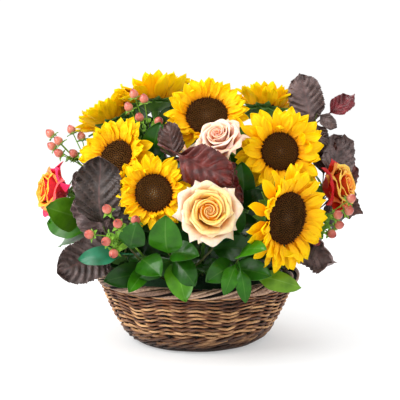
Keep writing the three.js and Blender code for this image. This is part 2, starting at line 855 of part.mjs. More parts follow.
// A leaf runs from where it grows on its twig to its tip, and is swung about its root, or made
// smaller, until it is clear of what stands already.
function leafOn(twig, [where, tip, width, looks], outline, others) {
  const root = pointOnBar(twig, where, LEAFY_STEPS);
  const along = vector(tip).sub(root);
  const reach = along.length();
  along.normalize();
  const across = direction(...looks).cross(along).normalize();
  const face = along.clone().cross(across);
  const frame = new THREE.Matrix4().makeBasis(along, across, face).setPosition(root);
  const make = ({ bend, size }, margin) => {
    const shape = leafRings({
      length: reach * size + margin,
      halfWidth: (width / 2) * size + margin,
      outline,
      keel: LEAF.keel + margin,
      arch: LEAF.arch,
    });
    const leaf = blade(shape.rings, shape.tip).rotateY(radians(bend));
    return { solid: toSolid(leaf.applyMatrix4(frame)) };
  };
  const leaf = firstClear(LEAF_WAYS, make, others);
  if (!leaf) throw new Error(`no room for the leaf that ends at ${tip}`);
  return leaf.solid;
}

function leafyStem({ stem, leaves, twig }, outline) {
  const main = bentStem(stem);
  const twigs = [{ curve: main, leaves }];
  let wood = toSolid(stemAlong(main, LEAFY_STEM, LEAFY_STEPS));
  if (twig) {
    const root = pointOnBar(main, twig.from, LEAFY_STEPS);
    const curve = bentStem([root.toArray(), ...twig.to]);
    twigs.unshift({ curve, leaves: twig.leaves });
    wood = wood.add(toSolid(bar(curve, LEAFY_STEM, STEM_SIDES, LEAFY_STEPS)));
  }
  const blades = [];
  for (const { curve, leaves: grown } of twigs)
    for (const leaf of grown)
      blades.push(leafOn(curve, leaf, outline, [...placed, ...blades.map(boxed)]));
  return join([wood, ...blades]);
}

// ---------------------------------------------------------------------------------------------
// Assembly
// ---------------------------------------------------------------------------------------------

const arrangement = new THREE.Group();
arrangement.name = "flower_basket";

addPiece(arrangement, "basket_base", toSolid(basketBase()), COLOURS.willow, 0.8);
addPiece(arrangement, "basket_wall", toSolid(basketWall()), COLOURS.willowLight, 0.75);
addPiece(arrangement, "basket_border", toSolid(basketBorder()), COLOURS.willow, 0.75);
addPiece(arrangement, "film_liner", toSolid(liner()), COLOURS.film, 0.4);

const heads = new THREE.Group();
arrangement.add(heads);
const sunflowerGroups = Object.entries(SUNFLOWERS).map(([name, flower], i) => {
  const group = flowerGroup(flower, i * 37);
  heads.add(group);
  addPiece(group, `sunflower_${name}_green`, sunflowerGreen(group, flower), COLOURS.stem);
  addPiece(group, `sunflower_${name}_disc`, toSolid(sunflowerDisc(flower.disc)), COLOURS.disc, 0.9);
  return { name, flower, group, seed: 101 + i };
});
Object.entries(ROSES).forEach(([name, rose], i) => {
  const group = flowerGroup(rose, i * 29);
  heads.add(group);
  addPiece(group, `rose_${name}_petals`, rosePetals(rose), rose.colour, 0.5);
  addPiece(group, `rose_${name}_green`, roseGreen(group, rose), COLOURS.stem);
});
for (const [name, spray] of Object.entries(BERRY_SPRAYS))
  addPiece(arrangement, `hypericum_${name}`, berrySpray(spray), COLOURS.berry, 0.35);
for (const { name, flower, group, seed } of sunflowerGroups)
  addPiece(group, `sunflower_${name}_rays`, sunflowerRays(group, flower, seed), COLOURS.ray);
for (const [name, branch] of Object.entries(HAZEL))
  addPiece(arrangement, `hazel_${name}`, leafyStem(branch, TOOTHED_OUTLINE), COLOURS.hazel, 0.55);
for (const [name, branch] of Object.entries(GREENS))
  addPiece(arrangement, `greens_${name}`, leafyStem(branch, OVAL_OUTLINE), COLOURS.leaf, 0.4);

const block = holes.reduce((foam, hole) => foam.subtract(hole), toSolid(turned(FOAM, 16)));
addPiece(arrangement, "floral_foam", block, COLOURS.foam, 0.9);

export default arrangement;
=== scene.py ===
import math
import random

import bpy
import numpy as np
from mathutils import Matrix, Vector


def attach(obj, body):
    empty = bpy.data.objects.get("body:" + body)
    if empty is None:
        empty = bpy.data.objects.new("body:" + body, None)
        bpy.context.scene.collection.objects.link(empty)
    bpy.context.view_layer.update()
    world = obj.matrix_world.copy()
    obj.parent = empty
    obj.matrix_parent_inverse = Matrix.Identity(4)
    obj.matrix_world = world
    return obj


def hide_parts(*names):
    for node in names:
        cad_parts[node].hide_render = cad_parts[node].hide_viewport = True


# A willow basket of sunflowers, roses, hypericum berries, purple hazel and glossy leafy stems.
# Places and sizes are in millimetres in the part's frame (+Z up, the front towards -Y) and become
# metres where a mesh is made.

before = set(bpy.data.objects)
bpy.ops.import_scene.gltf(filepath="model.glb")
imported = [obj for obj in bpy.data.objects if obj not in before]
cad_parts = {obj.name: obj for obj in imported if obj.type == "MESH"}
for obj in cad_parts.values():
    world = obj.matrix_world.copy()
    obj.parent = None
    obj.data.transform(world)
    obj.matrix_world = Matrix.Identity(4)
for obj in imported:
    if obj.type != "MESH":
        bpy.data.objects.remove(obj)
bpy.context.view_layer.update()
MM = 0.001

# ---------------------------------------------------------------------------------------------
# The arrangement, as the frame has it
# ---------------------------------------------------------------------------------------------

BASE_RADIUS = 84  # of the basket's flat underside
TOP_RADIUS = 136  # of the wall under the border
BASE_TOP = 7
WALL_TOP = 81
BULGE = 0.6  # the wall widens with its height to this power
FOCUS = np.array([0.0, 0.0, 30.0])  # flower stems leave the foam in line with it
FOOT_REACH = 64  # from the focus to the cut end of a flower stem

# Each sunflower: middle of its face, the way it looks (azimuth and rise in degrees), the radius to
# its petal tips and that of its disc.
SUNFLOWERS = {
    "front_left": ([-54, -150, 225], [-98, 10], 50, 24),
    "front_right": ([113, -150, 193], [-48, -4], 71, 34),
    "right": ([107, -104, 273], [-80, 10], 61, 25),
    "top": ([13, -58, 316], [-92, 34], 60, 28),
    "left": ([-106, -75, 262], [-118, 26], 58, 24),
    "top_left": ([-60, 24, 332], [102, 74], 68, 24),
    "top_right": ([96, 26, 322], [70, 68], 56, 22),
    "far_left": ([-120, 36, 300], [140, 56], 58, 22),
    "back_left": ([-130, 96, 222], [142, 22], 61, 26),
    "back_right": ([134, 92, 230], [36, 24], 61, 26),
}
SUNFLOWER_ROLL = 37  # degrees that each head is rolled about its axis from the one before
CAD_RAYS = 16  # petals of a head in the frame
RING_WIDTH = 3.6  # of the ring that they stand on, round the disc
RING_HALF = 2.2  # half its thickness
GOLDEN_ANGLE = math.radians(137.508)  # from each floret or rose petal to the next

# Each rose: middle, the way it looks, radius, how far it is open, and its blend of colours.
ROSES = {
    "peach": ([15, -186, 207], [-86, 12], 46, 1.0, "peach_rose"),
    "blush": ([30, -122, 290], [-112, 40], 39, 0.55, "blush_rose"),
    "orange_left": ([-196, -46, 214], [-156, 10], 43, 0.8, "orange_rose"),
    "orange_right": ([190, -56, 222], [-28, 14], 44, 0.8, "red_orange_rose"),
    "back": ([6, 156, 258], [88, 34], 46, 0.9, "peach_rose"),
}
ROSE_ROLL = 29

# Each berry spray: where its stem forks, and the middle of each berry.
BERRY_SPRAYS = {
    "left_high": (
        [-156, 0, 244],
        [
            [-204, 0, 288], [-191, -12, 279], [-175, 4, 293], [-162, 10, 283],
            [-201, -6, 271], [-191, -12, 262], [-171, -8, 261],
        ],
    ),
    "top_left": (
        [-66, -32, 284],
        [
            [-85, -36, 344], [-71, -46, 338], [-92, -42, 327], [-77, -54, 314],
            [-51, -58, 309],
        ],
    ),
    "front_left": (
        [-92, -136, 168],
        [
            [-112, -166, 207], [-98, -174, 190], [-76, -172, 194], [-135, -160, 174],
            [-113, -172, 167], [-104, -168, 151],
        ],
    ),
    "right_low": (
        [160, -74, 176],
        [
            [202, -94, 210], [200, -90, 193], [184, -104, 190], [187, -94, 175],
            [177, -100, 164], [156, -110, 156],
        ],
    ),
    "back": (
        [-6, 150, 190],
        [
            [-26, 196, 206], [-8, 204, 194], [14, 200, 208], [-18, 198, 178],
            [16, 194, 184],
        ],
    ),
}
BERRY_RADIUS = 6
BERRY_LENGTH = 14.5
SPRAY_STEM = (1.7, 1.3)  # radius at the foot and at the end
BERRY_STALK = (0.9, 0.75)
FIRST_STALK = 1.5  # from the fork down to the last berry's stalk
STALK_SPACING = 5

# Foliage: stems by way of a bend to their end, a twig that leaves the stem at a share of its length,
# and each leaf as [place on its stem, tip, width, the way its face looks, shade]. The shade runs from
# light green to dark and, from 1 on, blue green, or in hazel from grey purple to maroon. It holds each
# leaf's own colour and also painted light and shade: leaves that stand in shadow have darker values,
# lit and glossy ones lighter.
HAZEL = {
    "left": {
        "stem": [[-52, -34, 96], [-112, -84, 130], [-122, -110, 176]],
        "leaves": [
            [0.98, [-124, -136, 272], 62, [-100, 8], 0.32],
            [0.7, [-182, -128, 118], 58, [-112, -6], 0.2],
            [0.9, [-154, -118, 216], 44, [-110, 0], 0.0],
            [0.82, [-84, -122, 208], 46, [-95, 0], 0.3],
        ],
    },
    "centre": {
        "stem": [[6, -42, 108], [-6, -88, 190], [-30, -102, 266]],
        "leaves": [
            [0.98, [52, -150, 238], 58, [-95, 40], 0.9],
            [0.8, [58, -152, 214], 46, [-95, 20], 0.8],
            [0.92, [-40, -84, 312], 34, [-95, 20], 0.4],
        ],
    },
    "top_right": {
        "stem": [[44, 4, 104], [116, 6, 220], [164, 6, 302]],
        "leaves": [
            [0.97, [142, 6, 372], 50, [-95, 10], 0.04],
            [0.99, [220, 10, 342], 29, [-90, 10], 1.0],
            [0.88, [184, -12, 280], 26, [-85, 0], 0.5],
            [0.8, [166, -16, 276], 22, [-95, -5], 0.5],
        ],
    },
    "right": {
        "stem": [[58, -10, 92], [140, -30, 130], [172, -28, 196]],
        "leaves": [
            [0.98, [206, 12, 288], 50, [-80, 10], 0.12],
            [0.66, [182, -124, 130], 56, [-80, -8], 0.05],
            [0.88, [228, 14, 250], 36, [-70, 0], 0.8],
            [0.78, [212, 46, 178], 46, [-10, 10], 0.3],
            [0.5, [172, 40, 112], 46, [0, 30], 0.2],
        ],
    },
    "back": {
        "stem": [[-20, 52, 98], [-60, 118, 130], [-72, 136, 182]],
        "leaves": [
            [0.98, [-70, 148, 262], 58, [105, 10], 0.2],
            [0.74, [-150, 138, 138], 54, [130, 10], 0.5],
            [0.86, [-44, 188, 166], 48, [100, 10], 0.3],
            [0.92, [-118, 128, 176], 44, [120, 10], 0.7],
        ],
    },
}
GREENS = {
    "left": {
        "stem": [[-62, -12, 88], [-132, -30, 122], [-154, -58, 180]],
        "twig": {
            "from": 0.35,
            "to": [[-84, -60, 180], [-58, -64, 262]],
            "leaves": [
                [0.98, [-48, -84, 312], 34, [-95, 20], 0.7],
                [0.86, [-88, -86, 300], 28, [-100, 10], 0.8],
                [0.78, [-18, -100, 262], 30, [-85, 20], 0.9],
                [0.5, [-94, -110, 216], 36, [-105, 15], 0.7],
                [0.4, [-52, -116, 196], 34, [-90, 20], 0.8],
            ],
        },
        "leaves": [
            [0.98, [-210, -88, 198], 46, [-110, 15], 0.15],
            [0.84, [-208, -20, 168], 40, [-150, 20], 0.4],
            [0.7, [-196, 14, 126], 42, [170, 25], 0.5],
            [0.55, [-160, 60, 106], 42, [155, 25], 0.6],
            [0.46, [-160, -96, 98], 36, [-125, 10], 0.6],
        ],
    },
    "front_left": {
        "stem": [[-26, -58, 86], [-56, -128, 112], [-84, -160, 156]],
        "leaves": [
            [0.9, [-152, -154, 138], 26, [-100, 25], 1.3],
            [0.99, [-76, -182, 196], 34, [-95, 5], 0.6],
            [0.66, [-88, -172, 102], 22, [-95, 10], 0.4],
            [0.8, [-44, -184, 124], 36, [-85, 25], 0.5],
            [0.52, [-118, -158, 112], 34, [-110, 20], 0.8],
        ],
    },
    "front": {
        "stem": [[-10, -60, 84], [-14, -118, 120], [-36, -160, 150]],
        "twig": {
            "from": 0.4,
            "to": [[30, -130, 150], [62, -118, 214]],
            "leaves": [
                [0.98, [58, -136, 262], 30, [-90, 20], 0.7],
                [0.9, [88, -128, 226], 26, [-85, 10], 0.9],
                [0.7, [60, -160, 204], 34, [-85, 15], 0.7],
                [0.5, [22, -158, 178], 34, [-95, 20], 0.9],
                [0.4, [70, -160, 160], 34, [-80, 20], 0.8],
            ],
        },
        "leaves": [
            [0.78, [-14, -184, 90], 36, [-90, 10], 0.13],
            [0.88, [2, -180, 112], 32, [-80, 5], 0.7],
            [0.99, [-38, -188, 206], 42, [-100, 15], 0.36],
            [0.94, [6, -184, 152], 30, [-85, 35], 0.6],
            [0.83, [-66, -182, 140], 30, [-100, 30], 0.7],
        ],
    },
    "front_right": {
        "stem": [[26, -58, 84], [46, -116, 112], [52, -166, 144]],
        "leaves": [
            [0.8, [10, -188, 116], 32, [-95, 20], 0.6],
            [0.9, [32, -186, 96], 22, [-95, 5], 0.4],
            [0.97, [64, -190, 92], 20, [-85, 5], 0.5],
            [0.98, [98, -206, 144], 30, [-80, 40], 0.3],
            [0.58, [138, -158, 104], 28, [-65, 15], 0.0],
            [0.7, [96, -172, 124], 32, [-75, 20], 0.5],
        ],
    },
    "back": {
        "stem": [[10, 60, 86], [20, 124, 112], [24, 156, 142]],
        "twig": {
            "from": 0.35,
            "to": [[50, 96, 170], [56, 112, 236]],
            "leaves": [
                [0.98, [64, 128, 296], 42, [80, 20], 0.6],
                [0.84, [26, 130, 300], 36, [95, 20], 0.5],
                [0.66, [104, 134, 186], 42, [60, 20], 0.4],
                [0.4, [84, 158, 160], 42, [70, 20], 0.7],
            ],
        },
        "leaves": [
            [0.98, [6, 186, 96], 30, [95, 10], 0.3],
            [0.9, [52, 186, 100], 34, [80, 10], 0.6],
            [0.8, [-34, 168, 112], 38, [100, 15], 0.5],
            [0.72, [84, 158, 112], 38, [65, 15], 0.2],
            [0.5, [-88, 134, 108], 42, [120, 25], 0.6],
            [0.56, [128, 106, 108], 42, [45, 25], 0.4],
        ],
    },
}
# Leaves that the frame leaves out, on stalks of their own: where the stalk leaves the stem or its
# twig, the leaf's root, tip, width, the way its face looks and its shade.
MORE_HAZEL = {
    "left": [
        [0.97, [-124, -100, 196], [-158, -98, 250], 40, [-105, 5], 0.15],
        [0.6, [-116, -88, 132], [-142, -84, 178], 38, [-100, 0], 0.35],
    ],
    "centre": [[0.98, [-50, -118, 284], [46, -172, 240], 56, [-95, 12], 0.86]],
    "right": [
        [0.9, [184, -34, 214], [226, -20, 178], 40, [-70, 5], 0.55],
        [0.98, [176, 0, 226], [178, 14, 284], 36, [-85, 5], 0.5],
    ],
    "top_right": [
        [0.98, [166, -2, 316], [193, -10, 296], 20, [-85, 5], 0.12],
        [0.96, [164, -3, 306], [174, -14, 264], 25, [-88, 0], 0.35],
    ],
}
MORE_GREENS = {
    "left": [
        [0.9, [-62, -40, 276], [-90, 2, 324], 30, [-95, 10], 0.85],
        [0.95, [-52, -36, 280], [-34, -2, 324], 28, [-85, 10], 0.8],
        [0.85, [-58, -44, 262], [-66, -18, 312], 30, [-90, 5], 0.9],
        [0.2, [-74, -34, 120], [-62, -22, 170], 32, [-95, 5], 0.85],
    ],
}
LEAFY_STEPS = 3  # straight lengths of a leafy stem in the frame
LEAF_BENDS = [0, 7, -7, 14, -14, 22, -22, 30, -30, 40, -40]  # degrees, in the order tried there
LEAF_SIZES = [1, 0.88, 0.76, 0.62]
BRANCH = (1.7, 1.1)  # radius at the foot and at the end
LEAF_STALK = (1.1, 0.8)
LEAF = 0.5  # thickness
HAZEL_VEINS = 8  # side veins, and pleats, on each side of a hazel leaf
HAZEL_RAKE = 0.3  # how far forward they run, as a share of its length
GREEN_VEIN_WAVE = 38.0  # radians over a green leaf's length: six side veins on each side
GREEN_RAKE = 0.2

# ---------------------------------------------------------------------------------------------
# Small tools
# ---------------------------------------------------------------------------------------------


def linear(text):
    """An sRGB hex colour as the linear values that a shader takes."""
    channels = [int(text[i : i + 2], 16) / 255 for i in (1, 3, 5)]
    return (*[c / 12.92 if c <= 0.04045 else ((c + 0.055) / 1.055) ** 2.4 for c in channels], 1.0)


def unit(v):
    """That way, with a length of 1."""
    v = np.asarray(v, float)
    return v / np.linalg.norm(v)


def direction(azimuth, rise):
    """The unit vector that way, from angles in degrees."""
    a, r = math.radians(azimuth), math.radians(rise)
    return np.array([math.cos(a) * math.cos(r), math.sin(a) * math.cos(r), math.sin(r)])


def smooth(t, low=0.0, high=1.0):
    """0 below low, 1 above high, and a soft step between them."""
    x = np.clip((np.asarray(t, float) - low) / (high - low), 0, 1)
    return x * x * (3 - 2 * x)


def turn_z(angle):
    c, s = math.cos(angle), math.sin(angle)
    return np.array([[c, -s, 0], [s, c, 0], [0, 0, 1.0]])


def turn_y(angle):
    c, s = math.cos(angle), math.sin(angle)
    return np.array([[c, 0, s], [0, 1.0, 0], [-s, 0, c]])


def axes_along(way):
    """Axes whose third one points that way, as the columns of a matrix."""
    facing = Vector((0, 0, 1)).rotation_difference(Vector(unit(way)))
    return np.array(facing.to_matrix())


def bezier(points, t):
    """Points of a Bezier curve of any order, at each t."""
    t = np.asarray(t, float)[..., None]
    levels = [np.asarray(p, float) + 0 * t for p in points]
    while len(levels) > 1:
        levels = [a * (1 - t) + b * t for a, b in zip(levels, levels[1:])]
    return levels[0]


def spaced(points, count):
    """Points at even spacing along a Bezier curve."""
    line = bezier(points, np.linspace(0, 1, 200))
    steps = np.linalg.norm(np.diff(line, axis=0), axis=1)
    reached = np.concatenate([[0], np.cumsum(steps)])
    wanted = np.linspace(0, reached[-1], count)
    return np.stack([np.interp(wanted, reached, line[:, k]) for k in range(3)], axis=1)


def round_the_basket(radius, turns, height):
    """Points at each turn round the basket's axis."""
    return np.stack(np.broadcast_arrays(radius * np.cos(turns), radius * np.sin(turns), height), axis=1)


def wall_radius(height):
    """The outline of the basket's wall."""
    swell = np.clip(np.asarray(height, float) / WALL_TOP, 0, 2) ** BULGE
    return BASE_RADIUS + (TOP_RADIUS - BASE_RADIUS) * swell


def any_phase(rng):
    """Some phase of a wave, in radians."""
    return rng.uniform(0, 6.3)


def tilt(rng, low, high):
    """Some angle between two in degrees, in radians."""
    return math.radians(rng.uniform(low, high))


def dents(rng, amount, waves):
    """Gentle dents over a blade, different on each, as a relief for blade_grid."""
    terms = []
    for _ in range(5):
        terms.append((rng.uniform(0.3, 1) * waves, rng.uniform(-1, 1) * waves, any_phase(rng)))

    def relief(t, s):
        return amount * sum(np.sin(math.tau * (a * t + b * s / 2) + c) for a, b, c in terms) / 2

    return relief


def ring_faces(steps, sides, closed=False):
    """Faces between rings of points, one after another. A closed row of rings bites its own tail."""
    faces = []
    for r in range(steps if closed else steps - 1):
        a, b = r * sides, (r + 1) % steps * sides
        for c in range(sides):
            d = (c + 1) % sides
            faces.append((a + c, b + c, b + d, a + d))
    return faces


class Mesh:
    """The faces of one piece, in millimetres, and the values that its material reads at each point:
    along and across a blade or rod, a tint of its own for each, and its side. That is 1 on a blade's
    face and -1 on its back, and on willow 0 in the hollows of the weave and 1 where it stands out."""

    MARKS = ("along", "across", "tint", "side")

    def __init__(self):
        self.points, self.faces = [], []
        self.marks = {name: [] for name in self.MARKS}
        self.count = 0

    def extend(self, points, faces, *marks):
        """More points, the faces between them, and a value of each mark for all or for each."""
        size = len(points)
        self.points.append(points)
        self.faces += [tuple(self.count + i for i in face) for face in faces]
        for name, value in zip(self.MARKS, marks):
            self.marks[name].append(np.broadcast_to(np.asarray(value, float), (size,)).ravel())
        self.count += size

    def tube(self, rings, tint=0.0, closed=False, side=1.0):
        """A skin over rings of points, with caps where it isn't closed in a loop."""
        steps, sides = rings.shape[:2]
        faces = ring_faces(steps, sides, closed)
        if not closed:
            faces.append(tuple(range(sides)))
            faces.append(tuple((steps - 1) * sides + c for c in reversed(range(sides))))
        along = np.repeat(np.linspace(0, 1, steps), sides)
        across = np.tile(np.arange(sides) / sides, steps)
        self.extend(rings.reshape(-1, 3), faces, along, across, tint, side)

    def rod(self, line, radius, sides=7, tint=0.0, closed=False, side=1.0):
        """A round rod along a line of points; its radius may differ at each point."""
        line = np.asarray(line, float)
        radius = np.broadcast_to(np.asarray(radius, float), (len(line),))
        if closed:
            ahead = np.roll(line, -1, 0) - np.roll(line, 1, 0)
        else:
            ahead = np.gradient(line, axis=0)
        ahead /= np.linalg.norm(ahead, axis=1)[:, None]
        start = [0, 0, 1] if abs(ahead[0][2]) < 0.9 else [1, 0, 0]
        normal = unit(np.cross(ahead[0], start))
        turns = -np.arange(sides) * math.tau / sides
        rings = []
        for point, along, size in zip(line, ahead, radius):
            normal = unit(normal - along * normal.dot(along))
            other = np.cross(along, normal)
            circle = np.cos(turns)[:, None] * normal + np.sin(turns)[:, None] * other
            rings.append(point + size * circle)
        self.tube(np.array(rings), tint, closed, side)

    def turned(self, profile, sides, axes=np.eye(3), origin=(0, 0, 0), tint=0.0, uneven=0.0):
        """A solid of revolution about +Z, from [radius, height] pairs that go up its outside.
        uneven gives how far each of its points may lie from a true circle."""
        turns = -np.arange(sides) * math.tau / sides
        rings = [round_the_basket(r + uneven * min(1, r / 30), turns, z) for r, z in profile]
        self.tube(np.array(rings) @ np.asarray(axes).T + np.asarray(origin), tint)

    def blade(self, points, thickness, tint=0.0):
        """A thin closed shell round a grid of points, [along][across], whose face looks to +Z when
        it runs along +X with its second index growing towards +Y."""
        rows, columns = points.shape[:2]
        normal = np.cross(np.gradient(points, axis=0), np.gradient(points, axis=1))
        normal /= np.maximum(np.linalg.norm(normal, axis=2), 1e-9)[:, :, None]
        half = np.broadcast_to(np.asarray(thickness, float), (rows,))[:, None, None] / 2
        ring = np.concatenate([points + normal * half, (points - normal * half)[:, ::-1]], axis=1)
        size = 2 * columns
        faces = ring_faces(rows, size)
        last = (rows - 1) * size
        for c in range(columns - 1):
            faces.append((c, c + 1, size - 2 - c, size - 1 - c))
            faces.append((last + c + 1, last + c, last + size - 1 - c, last + size - 2 - c))
        across = np.linspace(-1, 1, columns)
        along = np.repeat(np.linspace(0, 1, rows), size)
        both = np.tile(np.concatenate([across, across[::-1]]), rows)
        sides = np.tile(np.repeat([1.0, -1.0], columns), rows)
        self.extend(ring.reshape(-1, 3), faces, along, both, tint, sides)

    def piece(self, name, material, slot, replaces=(), sharp=50):
        """Makes the Blender object, which rides with the basket. Edges above the angle stay sharp."""
        mesh = bpy.data.meshes.new(name)
        points = np.concatenate(self.points) * MM
        mesh.from_pydata(points.tolist(), [], self.faces, shade_flat=False)
        for mark, values in self.marks.items():
            attribute = mesh.attributes.new(mark, "FLOAT", "POINT")
            attribute.data.foreach_set("value", np.concatenate(values).astype(np.float32))
        mesh.set_sharp_from_angle(angle=math.radians(sharp))
        mesh.materials.append(material)
        piece = bpy.data.objects.new(name, mesh)
        bpy.context.scene.collection.objects.link(piece)
        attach(piece, "root")
        if replaces:
            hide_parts(*replaces)
        return piece


# ---------------------------------------------------------------------------------------------
# Materials
# ---------------------------------------------------------------------------------------------

MATH = "ShaderNodeMath"
MIX = "ShaderNodeMixRGB"
RAMP = "ShaderNodeValToRGB"
MARK = "ShaderNodeAttribute"
NOISE = "ShaderNodeTexNoise"
CELLS = "ShaderNodeTexVoronoi"
BUMP = "ShaderNodeBump"


def add(material, kind, inputs=None, stops=(), out=0, **settings):
    """Adds a node with its settings and colour stops, gives its inputs a number, a hex colour or
    another node's output, and returns one of its own outputs."""
    tree = material.node_tree
    made = tree.nodes.new(kind)
    for name, value in settings.items():
        setattr(made, name, value)
    marks = made.color_ramp.elements if stops else ()
    while len(marks) < len(stops):
        marks.new(1.0)
    for mark, (place, colour) in zip(marks, stops):
        mark.position = place
        mark.color = linear(colour)
    for socket, value in (inputs or {}).items():
        if isinstance(value, bpy.types.NodeSocket):
            tree.links.new(value, made.inputs[socket])
        else:
            made.inputs[socket].default_value = linear(value) if isinstance(value, str) else value
    return made.outputs[out]


def finish(name, surface, *colours):
    """A new material, whose shader takes what the surface's function says."""
    material = bpy.data.materials.new(name)
    material.use_nodes = True
    nodes = material.node_tree.nodes
    nodes.remove(nodes["Principled BSDF"])
    shader = add(material, "ShaderNodeBsdfPrincipled", surface(material, *colours))
    material.node_tree.links.new(shader, nodes["Material Output"].inputs["Surface"])
    return material


def streaks(material, along_scale, across_scale, detail=3.0):
    """Noise drawn out along a blade or rod, different on each."""
    place = {}
    scales = {"along": along_scale, "across": across_scale, "tint": 40.0}
    for axis, (mark, scale) in enumerate(scales.items()):
        value = add(material, MARK, attribute_name=mark)
        place[axis] = add(material, MATH, {0: value, 1: scale}, operation="MULTIPLY")
    place = add(material, "ShaderNodeCombineXYZ", place)
    return add(material, NOISE, {"Vector": place, "Scale": 1.0, "Detail": detail, "Roughness": 0.6})


def patches(material, millimetres, detail=3.0):
    """Noise in space, with patches of about that size."""
    where = add(material, "ShaderNodeTexCoord", out=3)
    return add(material, NOISE, {"Vector": where, "Scale": 1 / (millimetres * MM), "Detail": detail})


def turned_to(material, colour, other, pattern, stops, held_by=None):
    """The colour, turned to another as far as a ramp over a pattern says, in grey. A value from 0 to 1
    may hold it back."""
    share = add(material, RAMP, {"Fac": pattern}, stops)
    if held_by is not None:
        share = add(material, MATH, {0: share, 1: held_by}, operation="MULTIPLY")
    return add(material, MIX, {"Fac": share, "Color1": colour, "Color2": other})


def darkened(material, colour, pattern, stops, share):
    """The colour, multiplied by this share of a ramp over a pattern."""
    tones = add(material, RAMP, {"Fac": pattern}, stops)
    return add(material, MIX, {"Fac": share, "Color1": colour, "Color2": tones}, blend_type="MULTIPLY")


def on_the_back(material):
    """1 on the back of a blade and 0 on its face."""
    side = add(material, MARK, attribute_name="side")
    return add(material, MATH, {0: side, 1: 0.0}, operation="LESS_THAN")


def side_veins(material, rake, turns, wave):
    """How far a point is off the midrib, and waves that run forwards from there, one to a vein."""
    along = add(material, MARK, attribute_name="along")
    across = add(material, MARK, attribute_name="across")
    off_rib = add(material, MATH, {0: across}, operation="ABSOLUTE")
    place = add(material, MATH, {0: off_rib, 1: -rake, 2: along}, operation="MULTIPLY_ADD")
    place = add(material, MATH, {0: place, 1: turns}, operation="MULTIPLY")
    return off_rib, add(material, MATH, {0: place}, operation=wave)


def sunflower_ray(material):
    """Fresh sunflower ray: thin, velvety and a little see-through, so that it glows; deep gold at
    the root and bright yellow beyond it, with fine lengthwise pleats."""
    along = add(material, MARK, attribute_name="along")
    stops = [(0.0, "#e08400"), (0.16, "#f7aa00"), (0.4, "#ffc000"), (0.8, "#ffcc00"), (1.0, "#ffd400")]
    lengthwise = add(material, RAMP, {"Fac": along}, stops)
    fine = streaks(material, 1.0, 6.0, 4.0)
    return {
        "Base Color": darkened(material, lengthwise, fine, [(0.3, "#f0bc50"), (0.55, "#ffffff")], 0.4),
        "Normal": add(material, BUMP, {"Height": fine, "Distance": 0.6 * MM, "Strength": 0.6}),
        "Roughness": 0.6,
        "IOR": 1.4,
        "Specular IOR Level": 0.2,
        "Subsurface Weight": 0.3,
        "Subsurface Radius": (0.006, 0.0045, 0.0004),
        "Subsurface Scale": 1.0,
    }


def packed_florets(material):
    """A sunflower's disc: dry, dull and dark brown, with a greyish eye of closed buds and rust-brown
    tips on the open ones round it."""
    where = add(material, MARK, attribute_name="tint")
    stops = [(0.0, "#5a4a38"), (0.3, "#2a1c12"), (0.5, "#120804"), (0.8, "#1c0e03"), (1.0, "#2a1204")]
    body = add(material, RAMP, {"Fac": where}, stops)
    stops = [(0.0, "#a8926c"), (0.22, "#62503e"), (0.42, "#36200f"), (0.7, "#684412"), (1.0, "#6c3a0e")]
    tips = add(material, RAMP, {"Fac": where}, stops)
    along = add(material, MARK, attribute_name="along")
    high = add(material, MATH, {0: along, 1: 2.0}, operation="POWER")
    colour = add(material, MIX, {"Fac": high, "Color1": body, "Color2": tips})
    return {"Base Color": colour, "Roughness": 0.9, "IOR": 1.4, "Specular IOR Level": 0.25}


def downy_green(material, dark, mid, light):
    """Hairy young stems, bracts and sepals: matt green, streaked lengthwise."""
    fine = streaks(material, 2.0, 5.0)
    return {
        "Base Color": add(material, RAMP, {"Fac": fine}, [(0.25, dark), (0.5, mid), (0.75, light)]),
        "Normal": add(material, BUMP, {"Height": fine, "Distance": 0.3 * MM, "Strength": 0.6}),
        "Roughness": 0.55,
        "IOR": 1.4,
        "Sheen Weight": 0.1,
    }


def rose_petal(material, heart, body, rim, outer):
    """Garden rose petal: satin and see-through, so that the heart glows. Its colour goes with its
    place in the bloom, deeper low down and paler at its lip; the backs are like the outermost."""
    along = add(material, MARK, attribute_name="along")
    depth = add(material, MARK, attribute_name="tint")
    own = add(material, RAMP, {"Fac": depth}, [(0.1, heart), (0.42, body), (0.7, rim), (0.92, outer)])
    colour = turned_to(material, own, heart, along, [(0.4, "#e6e6e6"), (0.86, "#000000")])
    inner = add(material, MATH, {0: depth, 1: 0.7}, operation="LESS_THAN")
    colour = turned_to(material, colour, rim, along, [(0.84, "#000000"), (0.97, "#c8c8c8")], inner)
    rank = add(material, RAMP, {"Fac": depth}, [(0.12, "#000000"), (0.45, "#f0f0f0")])
    behind = add(material, MATH, {0: on_the_back(material), 1: rank}, operation="MULTIPLY")
    colour = add(material, MIX, {"Fac": behind, "Color1": colour, "Color2": outer})
    fine = streaks(material, 1.2, 5.0, 4.0)
    return {
        "Base Color": darkened(material, colour, fine, [(0.3, "#f4dcc4"), (0.6, "#ffffff")], 0.5),
        "Normal": add(material, BUMP, {"Height": fine, "Distance": 0.25 * MM, "Strength": 0.6}),
        "Roughness": 0.5,
        "IOR": 1.4,
        "Specular IOR Level": 0.3,
        "Subsurface Weight": 0.4,
        "Subsurface Radius": (0.006, 0.003, 0.001),
        "Subsurface Scale": 1.0,
    }


